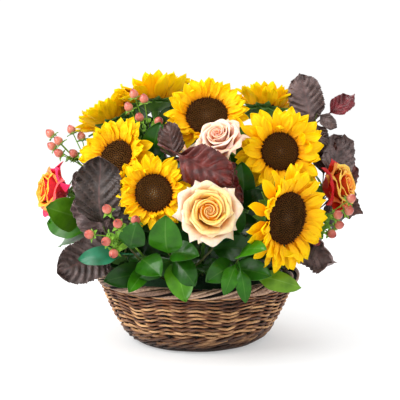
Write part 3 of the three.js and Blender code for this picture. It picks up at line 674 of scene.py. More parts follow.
def waxy_berry(material):
    """Ripe hypericum berry: taut, waxy and glossy, coral pink, paler where it leaves its sepals and
    brown at the tip."""
    along = add(material, MARK, attribute_name="along")
    stops = [(0.0, "#e2b088"), (0.3, "#d48e74"), (0.7, "#c8705e"), (0.95, "#a8463a"), (1.0, "#4a2418")]
    length = add(material, RAMP, {"Fac": along}, stops)
    mottle = patches(material, 4.0)
    return {
        "Base Color": darkened(material, length, mottle, [(0.35, "#e8a0a0"), (0.6, "#ffffff")], 0.5),
        "Roughness": 0.3,
        "IOR": 1.45,
        "Coat Weight": 0.2,
        "Coat Roughness": 0.2,
        "Subsurface Weight": 0.15,
        "Subsurface Radius": (0.004, 0.0015, 0.001),
        "Subsurface Scale": 1.0,
    }


def leathery_leaf(material):
    """Leathery evergreen leaf: smooth and glossy above, with a pale midrib on the lighter ones and
    faint arched veins, matt and paler below."""
    tint = add(material, MARK, attribute_name="tint")
    stops = [(0.0, "#6a9420"), (0.2, "#3c7c06"), (0.5, "#276008"), (0.9, "#0e3206"), (1.0, "#1d6a4a")]
    shade = add(material, RAMP, {"Fac": tint}, stops)
    off_rib, wave = side_veins(material, GREEN_RAKE, GREEN_VEIN_WAVE, "SINE")
    paler = add(material, MATH, {0: tint, 1: -0.55, 2: 0.58}, operation="MULTIPLY_ADD")
    colour = turned_to(material, shade, "#8cc25a", wave, [(0.9, "#000000"), (1.0, "#404040")], paler)
    colour = turned_to(material, colour, "#a4cc74", off_rib, [(0.02, "#9c9c9c"), (0.06, "#000000")], paler)
    below = on_the_back(material)
    matt = add(material, MATH, {0: below, 1: 0.4}, operation="MULTIPLY")
    colour = add(material, MIX, {"Fac": matt, "Color1": colour, "Color2": "#6f9c50"})
    patchy = patches(material, 16.0, 2.0)
    return {
        "Base Color": darkened(material, colour, patchy, [(0.3, "#7e9c66"), (0.65, "#ffffff")], 0.6),
        "Normal": add(material, BUMP, {"Height": wave, "Distance": 0.12 * MM, "Strength": 0.3}),
        "Roughness": add(material, MATH, {0: below, 1: 0.3, 2: 0.3}, operation="MULTIPLY_ADD"),
        "IOR": 1.45,
        "Specular IOR Level": 0.28,
    }


def pleated_hazel(material):
    """Purple hazel leaf: pleated and soft with a faint gloss, patchy grey purple to maroon with a
    silvery bloom, paler side veins and a net of fine ones."""
    tint = add(material, MARK, attribute_name="tint")
    stops = [(0.0, "#826a68"), (0.3, "#42342e"), (0.55, "#5c2c20"), (0.85, "#6a1a0c"), (1.0, "#7a1220")]
    shade = add(material, RAMP, {"Fac": tint}, stops)
    # The side veins lie on the crests of the leaf's pleats.
    off_rib, wave = side_veins(material, HAZEL_RAKE, math.tau * HAZEL_VEINS, "COSINE")
    colour = turned_to(material, shade, "#b08a78", wave, [(0.8, "#000000"), (1.0, "#4a4a4a")])
    colour = turned_to(material, colour, "#9a6460", off_rib, [(0.02, "#909090"), (0.05, "#000000")])
    patchy = patches(material, 9.0, 4.0)
    colour = darkened(material, colour, patchy, [(0.32, "#4c4444"), (0.66, "#ffffff")], 0.75)
    below = add(material, MATH, {0: on_the_back(material), 1: 0.35}, operation="MULTIPLY")
    # The net's meshes are about 2 mm, twice life, so that they show.
    net = add(material, CELLS, {"Scale": 480.0})
    return {
        "Base Color": add(material, MIX, {"Fac": below, "Color1": colour, "Color2": "#76605e"}),
        "Normal": add(material, BUMP, {"Height": net, "Distance": 0.35 * MM, "Strength": 0.4}),
        "Roughness": 0.36,
        "IOR": 1.5,
        "Specular IOR Level": 0.5,
        "Sheen Weight": 0.08,
        "Sheen Roughness": 0.35,
        "Sheen Tint": "#e4cfc4",
    }


def willow_rod(material, hollow_shade, foot, dark, mid, light):
    """Steamed willow with its bark on: a hard, faintly glossy skin, streaked along each rod, no two
    rods quite alike, weathered grey in patches, paler where it stands out, partly rubbed wear and
    partly a painted highlight, with painted shade, brown black, in the hollows of the weave, and
    darker towards the foot."""
    # The broadest streaks take up a third of the way round a rod, coarser than life, so that they show.
    fine = streaks(material, 60.0, 3.0, 4.0)
    tint = add(material, MARK, attribute_name="tint")
    own = add(material, MATH, {0: tint, 1: 7.0}, operation="MULTIPLY")
    own = add(material, MATH, {0: own}, operation="FRACT")
    value = add(material, MATH, {0: patches(material, 28.0), 1: 0.25}, operation="MULTIPLY")
    value = add(material, MATH, {0: fine, 1: 0.55, 2: value}, operation="MULTIPLY_ADD")
    value = add(material, MATH, {0: own, 1: 0.24, 2: value}, operation="MULTIPLY_ADD")
    colour = add(material, RAMP, {"Fac": value}, [(0.38, dark), (0.52, mid), (0.66, light)])
    weathered = patches(material, 14.0)
    colour = turned_to(material, colour, "#705c50", weathered, [(0.5, "#000000"), (0.68, "#8c8c8c")])
    # Paler where the rod stands out of the weave: partly rubbed wear and partly a painted highlight.
    side = add(material, MARK, attribute_name="side")
    colour = turned_to(material, colour, light, side, [(0.8, "#000000"), (1.0, "#5c5c5c")])
    where = add(material, "ShaderNodeTexCoord", out=3)
    height = add(material, "ShaderNodeSeparateXYZ", {0: where}, out=2)
    low = add(material, RAMP, {"Fac": height}, [(0.008, "#ffffff"), (0.036, "#000000")])
    colours = {"Fac": low, "Color1": colour, "Color2": foot}
    colour = add(material, MIX, colours, blend_type="MULTIPLY")
    # Painted shade: where side is low, in the hollows of the weave, the colour turns brown black and the
    # surface rougher.
    deep = add(material, RAMP, {"Fac": side}, [(0.42, "#ffffff"), (0.7, "#000000")])
    rough = add(material, MATH, {0: deep, 1: 0.4, 2: 0.32}, operation="MULTIPLY_ADD")
    return {
        "Base Color": add(material, MIX, {"Fac": deep, "Color1": colour, "Color2": hollow_shade}),
        "Normal": add(material, BUMP, {"Height": fine, "Distance": 0.4 * MM, "Strength": 0.6}),
        "Roughness": add(material, MATH, {0: fine, 1: 0.28, 2: rough}, operation="MULTIPLY_ADD"),
        "IOR": 1.5,
        "Specular IOR Level": 0.35,
    }


def young_bark(material):
    """Smooth young bark of hazel and leafy twigs, brown green."""
    fine = streaks(material, 8.0, 3.0)
    return {
        "Base Color": add(material, RAMP, {"Fac": fine}, [(0.3, "#3a3018"), (0.6, "#56602a")]),
        "Normal": add(material, BUMP, {"Height": fine, "Distance": 0.3 * MM, "Strength": 0.6}),
        "Roughness": 0.6,
        "IOR": 1.45,
    }


def polythene_film(material):
    """Thin dark polythene film, creased and slightly shiny."""
    creases = patches(material, 16.0)
    return {
        "Base Color": add(material, RAMP, {"Fac": creases}, [(0.3, "#0e120e"), (0.7, "#232a22")]),
        "Normal": add(material, BUMP, {"Height": creases, "Distance": 1.0 * MM, "Strength": 0.6}),
        "Roughness": 0.35,
        "IOR": 1.51,
    }


def soaked_foam(material):
    """Soaked floral foam: dark green, a crumbly skin of fine open cells."""
    # Real cells are under 0.3 mm; these are 2 mm, so that they show.
    cells = add(material, CELLS, {"Scale": 500.0})
    uneven = patches(material, 25.0, 4.0)
    return {
        "Base Color": add(material, RAMP, {"Fac": uneven}, [(0.3, "#0d2410"), (0.7, "#1c4420")]),
        "Normal": add(material, BUMP, {"Height": cells, "Distance": 0.6 * MM, "Strength": 0.6}),
        "Roughness": 0.9,
        "IOR": 1.4,
    }


def studio_paper(material):
    """Matt white paper over a light table, which keeps the shadows on it faint."""
    return {
        "Base Color": "#cbcbcb",
        "Roughness": 0.9,
        "Specular IOR Level": 0.0,
        "Emission Color": "#ffffff",
        "Emission Strength": 0.37,
    }


# ---------------------------------------------------------------------------------------------
# Basket, liner and foam
# ---------------------------------------------------------------------------------------------

STICKS = 6  # that cross in the base
BASE_MIDDLE = 3.7  # height of its weave
BASE_ROD = 2.1  # radius of the rods woven there
BASE_ROUNDS = np.arange(9, 83, 4.1)  # radii of their rounds
FOOT_ROUNDS = [(84.5, 3.1, 3.0, 0), (88.5, 4.4, 2.6, 2)]  # radius, height, rod's radius, phase
STAKES = 36
STAKE = 1.8  # radius, also of the base's sticks
TWISTS = [3.2, 9.2, 15.2]  # heights over the base of the twisted rows at the foot of the wall
TWIST_RODS = 3  # to a row
TWIST_ROD = 2.3  # radius of the thickest
TWIST_SWING = 2.6  # of a rod about its row
ROWS = 22
ROWS_FROM, ROWS_TO = 24.5, 85  # heights that the plain weave fills
WEAVE = 2.6  # how far a weaver swings out and in round the stakes
ZIGZAG = 3.4  # how high or low a stake may lift its weavers
THICK_WEAVER, THIN_WEAVER = 1.75, 1.3  # radius of the lowest and of the highest
INSET = 3.0  # of the weavers' middle from the wall's outline
BORDER_MIDDLE, BORDER_HEIGHT = 134.5, 91
BORDER_CORE = 5.2  # radius of the bundle inside the border
BORDER_WIDE, BORDER_HIGH = 8.6, 5.6  # from its middle to the rods laid round it
STRANDS = 62
FILM = 0.8  # thickness, as in the frame, and more than real film's
LINER_BOTTOM = 7.6
LINER_INSET = 8.6
FOAM_SIDES = 72


def basket_base(material):
    """The round base: crossed sticks with rods woven round them, and two thick rounds at its foot."""
    mesh = Mesh()
    for k in range(STICKS):
        reach = direction(k * 180 / STICKS, 0) * BASE_RADIUS
        mesh.rod(np.linspace(-reach, reach, 12) + [0, 0, BASE_MIDDLE], STAKE, 6, k * 0.13)
    turns = np.linspace(0, math.tau, 96, endpoint=False)
    for j, radius in enumerate(BASE_ROUNDS):
        wave = 1.3 * np.cos(2 * STICKS * turns + j * math.pi)
        line = round_the_basket(radius, turns, BASE_MIDDLE + wave)
        mesh.rod(line, BASE_ROD, 6, (j * 0.37) % 1, closed=True)
    for radius, height, size, phase in FOOT_ROUNDS:
        wave = 0.6 * np.cos(9 * turns + phase)
        line = round_the_basket(radius + wave, turns, height + 0 * turns)
        mesh.rod(line, size, 8, radius % 1, closed=True)
    return mesh.piece("woven_base", material, "willow", ["basket_base"])


def basket_wall(material):
    """Three twisted rows at the foot, then finer and finer weavers that pass outside one stake and
    inside the next, and the stakes themselves."""
    rng = random.Random(11)
    mesh = Mesh()
    turns = np.linspace(0, math.tau, STAKES * 8, endpoint=False)
    for number, middle in enumerate(TWISTS):
        for strand in range(TWIST_RODS):
            wave = STAKES / TWIST_RODS * turns + strand * math.tau / TWIST_RODS + number
            uneven = 1.1 * np.cos(5 * turns + any_phase(rng))
            height = BASE_TOP + middle + uneven + TWIST_SWING * np.sin(wave)
            radius = wall_radius(height) - INSET + 0.3 + TWIST_SWING * np.cos(wave)
            size = TWIST_ROD * rng.uniform(0.7, 1.0)
            mesh.rod(round_the_basket(radius, turns, height), size, 7, rng.random(), closed=True)
    # Where a stake stands high or low, all rows bend over it in a zigzag.
    at_stakes = [rng.uniform(-ZIGZAG, ZIGZAG) for _ in range(STAKES)]
    together = np.interp(turns * STAKES / math.tau, range(STAKES + 1), [*at_stakes, at_stakes[0]])
    # The rows close up towards the top, and each wanders a little of its own.
    for row in range(ROWS):
        share = (row + 0.5) / ROWS
        middle = ROWS_FROM + (ROWS_TO - ROWS_FROM) * share * (1.18 - 0.18 * share)
        wave = STAKES / 2 * turns + row * math.pi
        own = 0.45 * np.cos(7 * turns + any_phase(rng)) + 0.25 * np.cos(19 * turns + any_phase(rng))
        height = middle + own + together * smooth(share, -0.1, 0.2) * smooth(1 - share, -0.02, 0.25)
        radius = wall_radius(height) - INSET + WEAVE * np.cos(wave)
        size = THICK_WEAVER + (THIN_WEAVER - THICK_WEAVER) * share
        size = size * (1 + 0.16 * np.cos(3 * turns + any_phase(rng)))
        mesh.rod(round_the_basket(radius, turns, height), size, 7, rng.random(), closed=True)
    # How far each point stands out of the weave, from 0 in its hollows to 1 outside: the willow's material
    # paints shade in the hollows and a highlight where the rods stand out.
    points = np.concatenate(mesh.points)
    out = np.hypot(points[:, 0], points[:, 1]) - wall_radius(points[:, 2]) + INSET
    mesh.marks["side"] = [np.clip(0.5 + 0.5 * out / (WEAVE + THICK_WEAVER), 0, 1)]
    heights = np.linspace(BASE_TOP - 1, WALL_TOP + 4, 14)
    # The stakes stand in the hollows; side 0 paints them in shade.
    for k in range(STAKES):
        line = round_the_basket(wall_radius(heights) - INSET, k * math.tau / STAKES, heights)
        mesh.rod(line, STAKE, 6, rng.random(), side=0.0)
    return mesh.piece("woven_wall", material, "willow", ["basket_wall"])


def basket_border(material):
    """The rolled border: the ends of the stakes, each laid over its neighbours in a steep twist."""
    rng = random.Random(12)
    mesh = Mesh()
    turns = np.linspace(0, math.tau, 96, endpoint=False)
    core = round_the_basket(BORDER_MIDDLE, turns, BORDER_HEIGHT + 0 * turns)
    mesh.rod(core, BORDER_CORE, 8, 0.5, closed=True)
    share = np.linspace(0, 1, 40)
    roll = math.radians(-215) + share * math.tau
    for k in range(STRANDS):
        start = (k + rng.uniform(-0.25, 0.25)) * math.tau / STRANDS
        around = start + share * tilt(rng, 56, 72)
        wide = BORDER_WIDE + rng.uniform(-1.6, 0.6)
        high = BORDER_HIGH + rng.uniform(-1.4, 0.6)
        reach = BORDER_MIDDLE + np.cos(roll) * wide
        line = round_the_basket(reach, around, BORDER_HEIGHT + np.sin(roll) * high)
        mesh.rod(line, rng.uniform(1.8, 2.6) * (1 - 0.2 * share), 8, rng.random())
    # How far each point stands proud of the roll: the crevices between strands get painted shade, the
    # proudest parts a painted highlight.
    points = np.concatenate(mesh.points)
    out = np.hypot(points[:, 0], points[:, 1]) - BORDER_MIDDLE
    up = points[:, 2] - BORDER_HEIGHT
    proud = np.hypot(out / (BORDER_WIDE + 2), up / (BORDER_HIGH + 2.2))
    mesh.marks["side"] = [np.clip((proud - 0.6) / 0.4, 0, 1)]
    return mesh.piece("rolled_border", material, "willow_border", ["basket_border"])


def film_liner(material):
    """The film pot: tight at the bottom, creased towards its free edge."""
    mesh = Mesh()
    sides = 120
    turns = -np.arange(sides) * math.tau / sides
    creases = 0.7 * np.cos(17 * turns) + 0.5 * np.cos(29 * turns + 1) + 0.4 * np.cos(7 * turns + 2)
    levels = np.array([LINER_BOTTOM, 12, 24, 40, 58, 75, 86, 94])
    wall = wall_radius(levels) - LINER_INSET
    wall[-2:] = [120.5, 119.0]  # the free edge leans in
    floor = LINER_BOTTOM + FILM
    outer = [(0.5, LINER_BOTTOM, 0), *[(r, z, smooth(z, 20, 94)) for r, z in zip(wall, levels)]]
    inner = [(r - FILM, max(z, floor), crease) for r, z, crease in reversed(outer[1:])]
    profile = [*outer, *inner, (0.5, floor, 0)]
    rings = [round_the_basket(r + creases * crease, turns, z) for r, z, crease in profile]
    mesh.tube(np.array(rings))
    return mesh.piece("film_liner_pot", material, "film", ["film_liner"])


def floral_foam(material):
    """A domed block with its edges rubbed off."""
    mesh = Mesh()
    rough = random.Random(13)
    profile = [[0.5, 9.6], [70, 9.6], [77, 11], [81, 16], [98, 44], [102, 66], [102.5, 80], [99, 90]]
    profile += [[91, 104], [80, 115], [66, 121], [44, 125.5], [20, 127.6], [0.5, 128]]
    rubbed = np.array([rough.uniform(-0.5, 0.3) for _ in range(FOAM_SIDES)])
    mesh.turned(profile, FOAM_SIDES, uneven=rubbed)
    return mesh.piece("foam_block", material, "foam", ["floral_foam"])


# ---------------------------------------------------------------------------------------------
# Blades
# ---------------------------------------------------------------------------------------------

HAZEL_TEETH = 9  # on each side of a leaf, each cut into three
HAZEL_ROWS, HAZEL_COLUMNS = 12 * HAZEL_TEETH + 1, 21  # four rows to each small tooth
GREEN_ROWS, GREEN_COLUMNS = 28, 13


def blade_grid(length, half_width, outline, rise, relief, rows, columns, twist=0.0, sweep=0.0):
    """Points of a blade that leaves the origin along +X with its face to +Z. outline and rise give
    the half width, as a share, and the slope in radians at each share of the length; relief gives
    heights above the blade for each place; twist rolls it about its own line towards the tip, and
    sweep carries the tip sideways."""
    t = np.linspace(0, 1, rows)
    s = np.linspace(-1, 1, columns)
    slope = rise(t)
    step = length / (rows - 1)
    mean = (slope[1:] + slope[:-1]) / 2
    x = np.concatenate([[0], np.cumsum(np.cos(mean) * step)])
    z = np.concatenate([[0], np.cumsum(np.sin(mean) * step)])
    over = s[None, :] * half_width * outline(t)[:, None]
    up = relief(t[:, None], s[None, :])
    roll = (twist * t)[:, None]
    across = over * np.cos(roll) - up * np.sin(roll)
    above = over * np.sin(roll) + up * np.cos(roll)
    points = np.empty((rows, columns, 3))
    points[:, :, 0] = x[:, None] - np.sin(slope)[:, None] * above
    points[:, :, 1] = (sweep * t * t)[:, None] + across
    points[:, :, 2] = z[:, None] + np.cos(slope)[:, None] * above
    return points


def ray_outline(t):
    """A broad petal: narrow root, widest past the middle, blunt tip with a small point."""
    u = np.clip((t - 0.46) / 0.54, 0, 1)
    return np.maximum((0.45 + 0.55 * smooth(t, 0, 0.42)) * (1 - u**2.7), 0.03)


def oval_outline(t):
    """A short stalk, then a broad oval that ends in a small point."""
    u = np.clip((t - 0.44) / 0.56, 0, 1)
    body = 0.05 + 0.95 * smooth(t, 0.02, 0.42) ** 0.75
    return np.maximum(body * (0.9 * (1 - u**2.8) ** 0.9 + 0.1 * (1 - u)), 0.015)


def hazel_outline(t):
    """A round leaf with a short point, cut into small forward teeth, each cut again."""
    u = np.clip((t - 0.55) / 0.45, 0, 1)
    body = 0.045 + 0.955 * smooth(t, 0.05, 0.34) ** 0.7
    body = body * (0.92 * (1 - u**3.6) ** 0.85 + 0.08 * (1 - u))
    teeth = 0.05 * (t * HAZEL_TEETH % 1) + 0.045 * (t * (3 * HAZEL_TEETH) % 1)
    return np.maximum(body * (1 - smooth(t, 0.16, 0.26) * teeth), 0.015)


def on_a_stalk(outline, length, width, longest):
    """The outline of a leaf that is too long for its width: what is over goes to its stalk."""
    stalk = max(0.0, 1 - longest * width / length)

    def stalked(t):
        return np.where(t < stalk, np.maximum(outline(0 * t), 0.03), outline((t - stalk) / (1 - stalk)))

    return stalked


# ---------------------------------------------------------------------------------------------
# Sunflowers
# ---------------------------------------------------------------------------------------------

YOUNGEST_HEAD = "front_left"  # its disc has the palest eye
RAY_ROWS, RAY_COLUMNS = 13, 11
# Rounds of rays: which of the frame's rays they follow, how many, height and share of the reach.
RAY_ROUNDS = [(1, 20, -1.5, 1.0), (0, 19, 0.0, 0.97), (0, 16, 1.3, 0.82)]
HANGING = {"top_left": 196}  # heads whose petals hang on the side of this azimuth
HANG = 0.75  # by how much at most, in radians
HOOKED = 0.07  # share of petals that hook inwards
FLORET_SPACING = 1.6  # wider than life, so that the florets show
EYE = 0.42  # share of a disc's radius where its buds are still closed
SUNFLOWER_STEM = 3.7  # radius
HAIRS, HAIR = 160, 1.5  # on a stem, and the length of one


def stem_line(neck, looks, count):
    """A flower stem, from its cut end in the foam to the back of its flower."""
    outwards = unit(neck - FOCUS)
    foot = FOCUS + outwards * FOOT_REACH
    span = np.linalg.norm(neck - foot)
    points = [foot, foot + outwards * span * 0.6, neck - looks * span * 0.28, neck]
    return bezier(points, np.linspace(0, 1, count))


def cad_rays(name, at, axes, ring):
    """The reach and slope of each ray of this head in the frame, from its tip."""
    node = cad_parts[f"sunflower_{name}_rays"]
    points = np.array([v.co for v in node.data.vertices]) / MM
    local = (points - at) @ axes
    turns = np.arctan2(local[:, 1], local[:, 0]) * CAD_RAYS / math.tau
    radii = np.hypot(local[:, 0], local[:, 1])
    rays = []
    for column in range(CAD_RAYS):
        away = np.abs((turns - column + CAD_RAYS / 2) % CAD_RAYS - CAD_RAYS / 2)
        tip = int(np.argmax(np.where(away < 0.12, radii**2 + local[:, 2] ** 2, 0)))
        out, up = radii[tip] - ring, local[tip, 2]
        rays.append((math.hypot(out, up), math.atan2(up, out)))
    return rays


def ray_grid(rng, length, slope):
    """One ray of a sunflower: arched, pleated twice, cupped, ruffled at its edges, and now and then
    hooked inwards."""
    hooked = rng.random() < HOOKED
    curl = tilt(rng, 70, 110) if hooked else tilt(rng, -46, 14)
    shallow = dents(rng, 1.1, 1.2)
    phase = any_phase(rng)
    cup = rng.uniform(0.6, 2.6)

    def rise(t):
        return slope + curl * (t if hooked else t - 0.45) + math.radians(8) * (1 - smooth(t, 0, 0.3))

    def relief(t, s):
        pleat = 0.35 * np.cos(s * math.tau) * smooth(t, 0.05, 0.3) * (1 - 0.5 * t)
        ruffle = 0.9 * np.sin(10 * t + phase + 2 * s) * np.abs(s) ** 2
        return pleat + cup * s * s * (1 - 0.5 * t) + (shallow(t, s) + ruffle) * smooth(t, 0.1, 0.6)

    return blade_grid(
        length * (0.85 if hooked else 1),
        min(length * rng.uniform(0.21, 0.27), 10),
        ray_outline,
        rise,
        relief,
        RAY_ROWS,
        RAY_COLUMNS,
        twist=tilt(rng, -36, 36),
        sweep=rng.uniform(-5, 5),
    )


def sunflower_rays(name, at, axes, disc, seed, material):
    """Golden petals in three overlapping rounds, which follow the frame's rays."""
    rng = random.Random(seed)
    mesh = Mesh()
    ring = disc + RING_WIDTH
    rays = cad_rays(name, at, axes, ring)
    taper = np.interp(np.linspace(0, 1, RAY_ROWS), [0, 0.7, 1], [0.7, 0.5, 0.3])
    for offset, count, height, reach in RAY_ROUNDS:
        known = rays[offset::2]
        for k in range(count):
            turn = (k + 0.33 * height + rng.uniform(-0.22, 0.22)) / count
            place = (turn * len(known) - (0.5 if offset else 0)) % len(known)
            low, share = int(place), place % 1
            (near, slope_a), (far, slope_b) = known[low], known[(low + 1) % len(known)]
            length = (near + (far - near) * share) * reach * rng.uniform(0.9, 1.03) + 3
            slope = slope_a + (slope_b - slope_a) * share
            slope += math.radians(rng.uniform(-5, 5) + 3 * height)
            turned = turn_z(turn * math.tau)
            if name in HANGING:
                slope -= HANG * smooth(axes @ turned[:, 0] @ direction(HANGING[name], 0), 0.4, 0.9)
            grid = ray_grid(rng, length, slope)
            grid = (grid + [ring - 3.2, 0, height]) @ turned.T
            mesh.blade(grid @ axes.T + at, taper, rng.random())
    name = f"sunflower_{name}"
    return mesh.piece(f"{name}_petals", material, "sunflower_petal", [f"{name}_rays"])


def floret(centre, outward, tall, wide, lean, mouth):
    """One closed or open floret of a disc, as rings of five points; mouth is its width near the top
    as a share of wide."""
    turns = -np.arange(5) * math.tau / 5
    rings = []
    for height, size in ((-0.8, 0.7), (0.5 * tall, 1.0), (0.9 * tall, mouth), (tall, 0.2)):
        middle = centre + [0, 0, height] + outward * lean * max(height, 0)
        flat = round_the_basket(wide * size, turns, 0 * turns)
        rings.append(middle + flat)
    return np.array(rings)


def sunflower_florets(name, at, axes, disc, seed, material):
    """Florets in the spirals that a sunflower grows them in: closed buds in the eye, open ones round
    it, and a rim of tall ones. The youngest head has the palest eye."""
    rng = random.Random(seed)
    mesh = Mesh()
    under = [[0.5, -RING_HALF], [disc, -RING_HALF], [disc, 0.8], [disc * 0.92, 2.2], [disc * 0.8, 2.9]]
    under += [[disc * 0.45, 1.8], [0.5, 1.0]]
    mesh.turned(under, 40, axes, at, 0.8)
    count = int((disc / FLORET_SPACING) ** 2)
    for i in range(count):
        share = math.sqrt((i + 0.5) / count)
        angle = i * GOLDEN_ANGLE
        outward = np.array([math.cos(angle), math.sin(angle), 0])
        seat = np.interp(share, [0, 0.45, 0.8, 1], [1.0, 1.8, 2.9, 0.4])
        centre = outward * disc * share + [0, 0, seat]
        if share < EYE:
            rings = floret(centre, outward, 1.9, 1.15, 0.0, 0.45)
        else:
            tall = rng.uniform(2.0, 4.2)
            lean = (share - 0.45) * 0.5 + rng.uniform(-0.25, 0.25)
            rings = floret(centre, outward, tall, 1.0, lean, 0.6)
        age = share if name == YOUNGEST_HEAD else 0.2 + 0.8 * share
        mesh.tube(rings @ axes.T + at, min(1.0, max(0.0, age + rng.uniform(-0.07, 0.07))))
    name = f"sunflower_{name}"
    return mesh.piece(f"{name}_florets", material, "sunflower_disc", [f"{name}_disc"], sharp=80)


def bracts(mesh, at, axes, radius, top, rounds, rng):
    """Pointed green bracts, each round given as count, length, half width, rise and curl in
    degrees."""
    for number, (count, length, half, rise_at, curl) in enumerate(rounds):
        for k in range(count):
            turn = (k + 0.5 * number + rng.uniform(-0.15, 0.15)) / count * math.tau
            slope = math.radians(rise_at + rng.uniform(-6, 6))
            bend = math.radians(curl + rng.uniform(-10, 10))

            def rise(t):
                return slope + bend * t

            def relief(t, s):
                return 0.2 * half * s * s + 0 * t

            def outline(t):
                return np.maximum((1 - t**2) * (0.7 + 0.3 * smooth(t, 0, 0.4)), 0.03)

            grid = blade_grid(length * rng.uniform(0.85, 1.1), half, outline, rise, relief, 8, 5)
            grid = (grid + [radius, 0, top - 1.6 * number]) @ turn_z(turn).T
            mesh.blade(grid @ axes.T + at, 0.6, rng.random())


def hairs(mesh, line, radius, count, length, rng):
    """Short stiff hairs that stand off a stem."""
    for _ in range(count):
        place = rng.uniform(0.35, 0.98) * (len(line) - 1)
        i = int(place)
        root = line[i] + (line[i + 1] - line[i]) * (place - i)
        ahead = unit(line[i + 1] - line[i])
        any_way = unit([rng.uniform(-1, 1), rng.uniform(-1, 1), rng.uniform(-1, 1)])
        out = unit(np.cross(ahead, any_way))
        tip = root + out * (radius + length * rng.uniform(0.6, 1.2)) + ahead * 0.4
        mesh.rod([root + out * (radius - 0.3), tip], [0.16, 0.04], 3, rng.random())


def sunflower_green(name, at, axes, looks, disc, seed, material):
    """The cup, its bracts and the hairy stem."""
    rng = random.Random(seed)
    mesh = Mesh()
    rim, top = disc + 2, -RING_HALF - 0.4
    cup = [[0.5, top - 13], [rim * 0.34, top - 12], [rim * 0.62, top - 8], [rim * 0.93, top - 3.4]]
    cup += [[rim, top - 1.6], [rim * 0.98, top], [0.5, top]]
    mesh.turned(cup, 36, axes, at, 0.4)
    bracts(mesh, at, axes, rim - 3, top - 2.0, [(15, 21, 6.0, -12, 12), (13, 18, 6.2, -34, 24)], rng)
    line = stem_line(at + looks * (top - 11), looks, 28)
    radius = np.interp(np.linspace(0, 1, 28), [0, 0.8, 0.94, 1], [3.8, 3.6, 4.2, 6.5])
    mesh.rod(line, radius, 10, 0.7)
    hairs(mesh, line, SUNFLOWER_STEM, HAIRS, HAIR, rng)
    mesh.piece(f"sunflower_{name}_calyx", material, "stem", [f"sunflower_{name}_green"])
    return line


# ---------------------------------------------------------------------------------------------
# Roses
# ---------------------------------------------------------------------------------------------

ROSE_ROWS, ROSE_COLUMNS = 15, 17
# From the heart to the outermost petal: where its lip lies, [radius, height] in shares of the
# rose's radius, on a rose that is fully open and on a bud.
LIP_PLACES = [0.0, 0.2, 0.45, 0.7, 1.0]
OPEN_LIPS = np.array([[0.04, 0.32], [0.16, 0.37], [0.38, 0.36], [0.66, 0.24], [0.98, 0.0]])
SHUT_LIPS = np.array([[0.03, 0.36], [0.12, 0.42], [0.26, 0.44], [0.48, 0.4], [0.76, 0.26]])
ROSE_STEM = 2.7
ROSE_PETALS = 24
ROSE_PETAL = 0.8  # thickness
PLAIN_RUFFLE, FRILLED_RUFFLE = 0.3, 1.1  # how far a lip waves; the orange roses are frilled


def rose_lips(open_by):
    """Those places on a rose that is open by this share."""
    return SHUT_LIPS + (OPEN_LIPS - SHUT_LIPS) * open_by


def rose_petal_grid(size, depth, open_by, rng, ruffle):
    """One petal, wrapped round the flower's axis. Its middle climbs from the base, bellies out and
    turns over at the lip; the sides of an outer one roll back, which draws its lip to a point."""
    lips = rose_lips(open_by)
    lip = np.array([np.interp(depth, LIP_PLACES, lips[:, k]) for k in (0, 1)])
    lip = lip + [rng.uniform(-0.02, 0.02), rng.uniform(-0.03, 0.03)]
    base = np.array([0.05 + 0.08 * depth, -0.46])
    belly = np.array([0.16 + 0.52 * depth * (0.6 + 0.4 * open_by), -0.34 + 0.1 * depth])
    shoulder = lip + [-0.03 - 0.3 * depth, 0.04 + 0.2 * depth]
    line = np.array([base, belly, shoulder, lip]) * size
    t = np.linspace(0, 1, ROSE_ROWS)[:, None]
    s = np.linspace(-1, 1, ROSE_COLUMNS)[None, :]
    off = np.abs(s)
    reached = t * (1 - (0.04 + 0.38 * depth**3) * off**1.3 - 0.04 * s**6)
    here = bezier(line, reached)
    ahead = bezier(line, reached + 0.01) - bezier(line, reached - 0.01)
    ahead /= np.linalg.norm(ahead, axis=2)[:, :, None]
    half = size * (0.24 + 0.46 * depth)
    back = half * (0.06 + 0.56 * depth**2) * off**2 * t**3
    folds = np.sin(5 * s + any_phase(rng)) + 0.6 * np.sin(11 * s + any_phase(rng))
    back = back + ruffle * folds * t**4 * (0.3 + 0.7 * depth)
    furl = 0.07 * size * s * (1 - 0.6 * depth)
    radius = here[:, :, 0] + ahead[:, :, 1] * back + furl
    height = here[:, :, 1] - ahead[:, :, 0] * back
    wide = half * (0.35 + 0.65 * smooth(t, 0, 0.6)) * (1 - 0.1 * smooth(t, 0.75, 1))
    angle = s * np.minimum(wide / np.maximum(radius, 0.04 * size), 2.4 - 1.5 * depth)
    return np.stack([radius * np.cos(angle), radius * np.sin(angle), height], axis=2)


def rose_petals(name, at, axes, size, open_by, ruffle, seed, material, slot):
    """Two dozen petals in a spiral, from the furled heart to the ones that lie back, round the
    heart's tight middle."""
    rng = random.Random(seed)
    mesh = Mesh()
    lips = rose_lips(open_by)
    middle = [[0.02, -0.4], [0.12, -0.4], [lips[2, 0] * 0.8, lips[2, 1] - 0.24]]
    middle += [[lips[2, 0] * 0.7, lips[2, 1] - 0.15], [lips[1, 0], lips[1, 1] - 0.1]]
    middle += [[0.02, lips[0, 1] - 0.06]]
    mesh.turned(np.array(middle) * size, 20, axes, at, 0.0)
    for i in range(ROSE_PETALS):
        depth = (i / (ROSE_PETALS - 1)) ** 0.9
        grid = rose_petal_grid(size, depth, open_by, rng, ruffle)
        turn = i * GOLDEN_ANGLE + rng.uniform(-0.22, 0.22)
        mesh.blade(grid @ turn_z(turn).T @ axes.T + at, ROSE_PETAL, depth)
    return mesh.piece(f"rose_{name}_bloom", material, slot, [f"rose_{name}_petals"], sharp=70)


